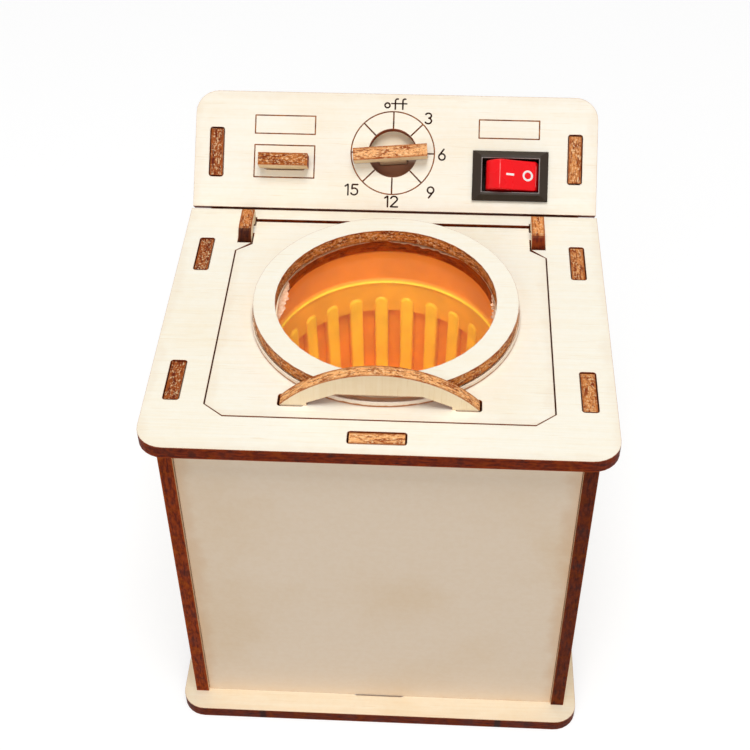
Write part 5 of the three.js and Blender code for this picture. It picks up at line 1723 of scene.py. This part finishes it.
@dataclass
class Works:
    """The motor and the battery box inside the case, with their cells, springs and wires."""

    box_middle: float = 63.0  # depth of the middle of the battery box
    cell_height: float = 11.1  # height of the cells' axes
    row: float = 7.2  # how far each cell lies from the middle of the box
    cell_radius: float = 7.0  # radius of a cell
    cell_length: float = 48.8  # length of a cell without its nub
    nub_length: float = 1.3  # length of its nub
    # the jacket's edge at the flat end, as steps from the cell's radius and that end
    jacket_foot: tuple[FlatSpot, ...] = (
        (-1.6, 0.4), (-1.6, 0.05), (-0.5, 0.02), (-0.15, 0.15), (0.0, 0.55))
    # the jacket's edge at the nub's end in the same way
    jacket_head: tuple[FlatSpot, ...] = (
        (0.0, -0.55), (-0.15, -0.15), (-0.5, 0.0), (-1.7, -0.05), (-1.75, -0.2), (-1.75, -0.5))
    end_inset: float = 1.5  # how far the metal ends stay inside the cell's radius
    # the nub, as radii and steps from the end
    nub: tuple[FlatSpot, ...] = (
        (3.4, -0.25), (3.2, -0.1), (2.8, 0.0), (2.7, 1.0), (2.5, 1.25), (2.1, 1.3), (0.0, 1.3))
    contact: float = 27.4  # how far out the faces of the contacts lie
    seat: float = 0.3  # how far a cell stays off its contact
    spring_wire: float = 0.3  # radius of the springs' wire
    spring_wide: float = 4.2  # radius of a spring at its contact
    spring_narrow: float = 2.4  # its radius at the cell
    turns: float = 3.0  # the turns of a spring
    wire_radius: float = 0.65  # radius of a wire
    # the points that the wire from the box to the switch passes
    supply: tuple[Spot, ...] = (
        (26.8, 70.2, 16.6), (26.8, 70.2, 18.6), (27.3, 70.7, 21), (28.8, 71.8, 26), (29.6, 74, 36),
        (28, 76.5, 48), (22.8, 77, 57), (19.6, 77.4, 63), (19.25, 78.6, 67.2), (19.25, 80.6, 68.9),
        (19.25, 81.9, 70.9))
    # the points of the wire from the switch to the motor
    switched: tuple[Spot, ...] = (
        (26.85, 81.9, 70.9), (26.85, 80.6, 68.9), (26.9, 78.6, 67.2), (27.2, 77.3, 63), (29.6, 76.8, 56),
        (31.6, 76.4, 46), (32.6, 74.6, 32), (32.7, 68, 18), (32.7, 56, 8), (31.4, 46, 4.9),
        (24, 37, 4.6), (12, 35.2, 5), (6.1, 35.2, 5.2))
    # the points of the wire from the motor to the box
    back_again: tuple[Spot, ...] = (
        (-6.1, 35.2, 5.2), (-10.5, 35.7, 5.1), (-13.4, 39.6, 4.8), (-8, 44.2, 4.6), (6, 44.9, 4.6),
        (22, 45.4, 5.2), (28, 45.9, 8.6), (28.9, 45.9, 14.6), (28.9, 46, 18.2), (28.6, 48.2, 20.8),
        (27.6, 52.4, 21), (26.8, 55.4, 19.3), (26.8, 55.8, 16.6))

    def build(self) -> None:
        """Dress the motor and the box, and make the cells, springs and wires."""
        for finish, solids in (
            (STEEL, ("motor_can", "box_screw_left", "box_screw_right")), (NYLON_WHITE, ("motor_end_cap",)),
            (BRASS, ("motor_tag_left", "motor_tag_right", "contact_bridge", "contact_front",
                     "contact_back")),
            (BOX_BLACK, ("battery_box",)),
        ):
            for node in solids:
                dress_node(node, finish.material())
        for name, side in (("front", 1.0), ("back", -1.0)):
            self._cell(name, side)
            self._spring(name, side)
        self._wire("supply_lead", self.supply, WIRE_RED, "supply_wire")
        self._wire("switched_lead", self.switched, WIRE_RED, "switched_wire")
        self._wire("return_lead", self.back_again, WIRE_BLACK, "return_wire")

    def _cell(self, name: str, side: float) -> None:
        """Make one cell: a jacket turned over its edges, a flat metal end and one with a nub.

        Args:
            name: front or back.
            side: 1 where the nub looks to the right, -1 where it looks to the left.
        """
        end = self.contact - self.seat - self.nub_length
        start, r = end - self.cell_length, self.cell_radius
        centre = (0.0, self.box_middle - side * self.row, self.cell_height)
        jacket = [
            (0.0, start + self.jacket_foot[0][1]), *((r + x, start + z) for x, z in self.jacket_foot),
            *((r + x, end + z) for x, z in self.jacket_head), (0.0, end + self.jacket_head[-1][1])]
        flat = r - self.end_inset
        flat_end = [(0.0, start + 0.12), (flat, start + 0.12), (flat, start + 0.3), (0.0, start + 0.3)]
        nub_end = [
            (0.0, end - 0.4), (flat, end - 0.4), (flat, end - 0.25), *((x, end + z) for x, z in self.nub)]
        body, *ends = (
            turned_profile(part, [(radius, side * level) for radius, level in profile], centre)
            for part, profile in (
                (f"cell_{name}_jacket", jacket), (f"{name}_flat_end", flat_end), (f"{name}_nub", nub_end)))
        metal = merged(f"cell_{name}_ends", ends)
        add_piece(outwards(body), CELL_GREEN, Body.CASE, (f"cell_{name}",))
        add_piece(outwards(metal), STEEL, Body.CASE, (f"cell_{name}",))

    def _spring(self, name: str, side: float) -> None:
        """Make one cone spring: a circle of wire carried along a coil that narrows.

        Args:
            name: front or back.
            side: 1 where the spring stands on the left contact, -1 on the right.
        """
        length = 2 * self.contact - self.seat - self.nub_length - self.cell_length
        length = length - 2 * self.seat - 2 * self.spring_wire
        share = np.linspace(0.0, 1.0, 150)
        angle = share * self.turns * 2.0 * np.pi
        radius = self.spring_wide + (self.spring_narrow - self.spring_wide) * share
        across = -self.contact + self.seat + self.spring_wire + share * length
        path = np.stack([
            side * across, self.box_middle - side * self.row + side * radius * np.cos(angle),
            self.cell_height + radius * np.sin(angle)], axis=1)
        piece = tube(f"spring_{name}", place(path), self.spring_wire, 10)
        add_piece(piece, STEEL, Body.CASE, (f"cell_spring_{name}",))

    def _wire(self, name: str, route: tuple[Spot, ...], finish: Finish, node: str) -> None:
        """Make one wire along its route.

        Args:
            name: the wire's name.
            route: the points that it passes, in millimetres.
            finish: its insulation.
            node: the solid that it stands for.
        """
        piece = tube(name, smooth_path(route, 12), self.wire_radius, 14)
        add_piece(piece, finish, Body.CASE, (node,))


@dataclass
class Studio:
    """The pale floor, the soft lamps and the camera."""

    # where the camera stands, in millimetres from the front edge of the top panel
    eye: Spot = (9.096, -151.763, 237.303)
    pitch: float = 43.295436299  # how far it looks down, in degrees
    heading: float = -3.42574239  # how far it looks to the right of straight back, in degrees
    roll: float = -0.6064921935  # how far it leans, in degrees
    focal: float = 1348.595  # its focal length in pixels of a picture as wide as picture
    picture: float = 750.0  # width of the photograph in pixels
    sensor: float = 36.0  # width of the camera's sensor, in millimetres
    floor_half: float = 3.0  # half the width of the floor, in metres
    floor_grey: float = 0.45  # how pale the floor is to the lamps
    floor_glow: float = 0.62  # how strongly it shines for the camera
    sky: float = 0.32  # the strength of the light from all round
    # each lamp's name, place and aim in metres, side in metres and power in watts
    lamps: tuple[tuple[str, Spot, Spot, float, float], ...] = (
        ("top_lamp", (0.03, -0.20, 0.95), (0.0, 0.0, 0.06), 0.42, 4.85),
        ("front_lamp", (-0.12, -0.85, 0.48), (0.0, 0.0, 0.05), 0.7, 2.35))

    def build(self) -> None:
        """Set up the floor, the world, the lamps and the camera."""
        self._floor()
        self._world()
        for lamp in self.lamps:
            self._lamp(*lamp)
        self._camera()

    def _floor(self) -> None:
        """Lay a wide floor that shows white to the camera and keeps the shadow."""
        edge = np.array([-self.floor_half, self.floor_half])
        across, deep = np.meshgrid(edge, edge)
        floor = grid_object("floor", np.stack([across, deep, np.zeros((2, 2))], axis=-1))
        floor.location.z = -0.0001
        material, nodes, shader = new_material("floor_white")
        nodes.fill(shader, {
            "Base Color": (*[self.floor_grey] * 3, 1.0), "Roughness": 0.9, "Emission Color": "#FFFFFF",
            "Emission Strength": nodes.times(_background_rays(nodes), self.floor_glow)})
        dress(floor, material)

    def _world(self) -> None:
        """Light everything softly from all round and show white to the camera."""
        world = bpy.data.worlds.new("studio")
        bpy.context.scene.world = world
        world.use_nodes = True
        world.node_tree.nodes.clear()
        nodes = Nodes(world.node_tree)
        soft, white = (
            nodes.add("ShaderNodeBackground", {"Color": "#FFFFFF", "Strength": strength}).outputs[0]
            for strength in (self.sky, 1.0))
        seen = _background_rays(nodes)
        mixed = nodes.add("ShaderNodeMixShader", {0: seen, 1: soft, 2: white})
        nodes.add("ShaderNodeOutputWorld", {"Surface": mixed.outputs[0]})

    def _lamp(self, name: str, spot: Spot, aim: Spot, size: float, watts: float) -> None:
        """Hang one soft square lamp.

        Args:
            name: the lamp's name.
            spot: where it hangs, in metres.
            aim: where it points, in metres.
            size: the length of its side, in metres.
            watts: its power.
        """
        data = bpy.data.lights.new(name, "AREA")
        data.size, data.energy = size, watts
        lamp = bpy.data.objects.new(name, data)
        lamp.location = spot
        lamp.rotation_euler = (Vector(aim) - Vector(spot)).to_track_quat("-Z", "Y").to_euler()
        bpy.context.scene.collection.objects.link(lamp)

    def _camera(self) -> None:
        """Stand the camera where the photograph was taken from."""
        pitch, heading, roll = (math.radians(value) for value in (self.pitch, self.heading, self.roll))
        forward = np.array([
            math.sin(heading) * math.cos(pitch), math.cos(heading) * math.cos(pitch), -math.sin(pitch)])
        level = np.array([math.cos(heading), -math.sin(heading), 0.0])
        upright = np.cross(level, forward)
        right = math.cos(roll) * level + math.sin(roll) * upright
        up = math.cos(roll) * upright - math.sin(roll) * level
        data = bpy.data.cameras.new("camera")
        data.sensor_width = self.sensor
        data.lens = self.focal * self.sensor / self.picture
        data.clip_start = 0.01
        camera = bpy.data.objects.new("camera", data)
        spot = place(np.array(self.eye))
        rows = [(right[i], up[i], -forward[i], spot[i]) for i in range(3)]
        camera.matrix_world = Matrix([*rows, (0.0, 0.0, 0.0, 1.0)])
        bpy.context.scene.collection.objects.link(camera)
        bpy.context.scene.camera = camera


def _background_rays(nodes: Nodes) -> Socket:
    """Tell the rays that meet the background: seen, mirrored or through the window.

    Args:
        nodes: the nodes of the floor's material or of the world.

    Returns:
        A socket that gives one for these rays.
    """
    ray = nodes.add("ShaderNodeLightPath").outputs
    seen = nodes.math("ADD", ray["Is Camera Ray"], ray["Is Transmission Ray"])
    return nodes.math("ADD", seen, ray["Is Glossy Ray"], True)


def main() -> None:
    """Build the studio and every sub-assembly in order."""
    logging.basicConfig(level=logging.INFO, format="%(name)s: %(message)s")
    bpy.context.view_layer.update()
    bpy.context.scene.view_settings.view_transform = "Standard"
    for kind in (Studio, Plywood, Lid, ConsoleDrawing, TimerGlue, RockerSwitch, WashTub, Works):
        LOG.info("building %s", kind.__name__)
        kind().build()


if __name__ == "__main__":
    main()
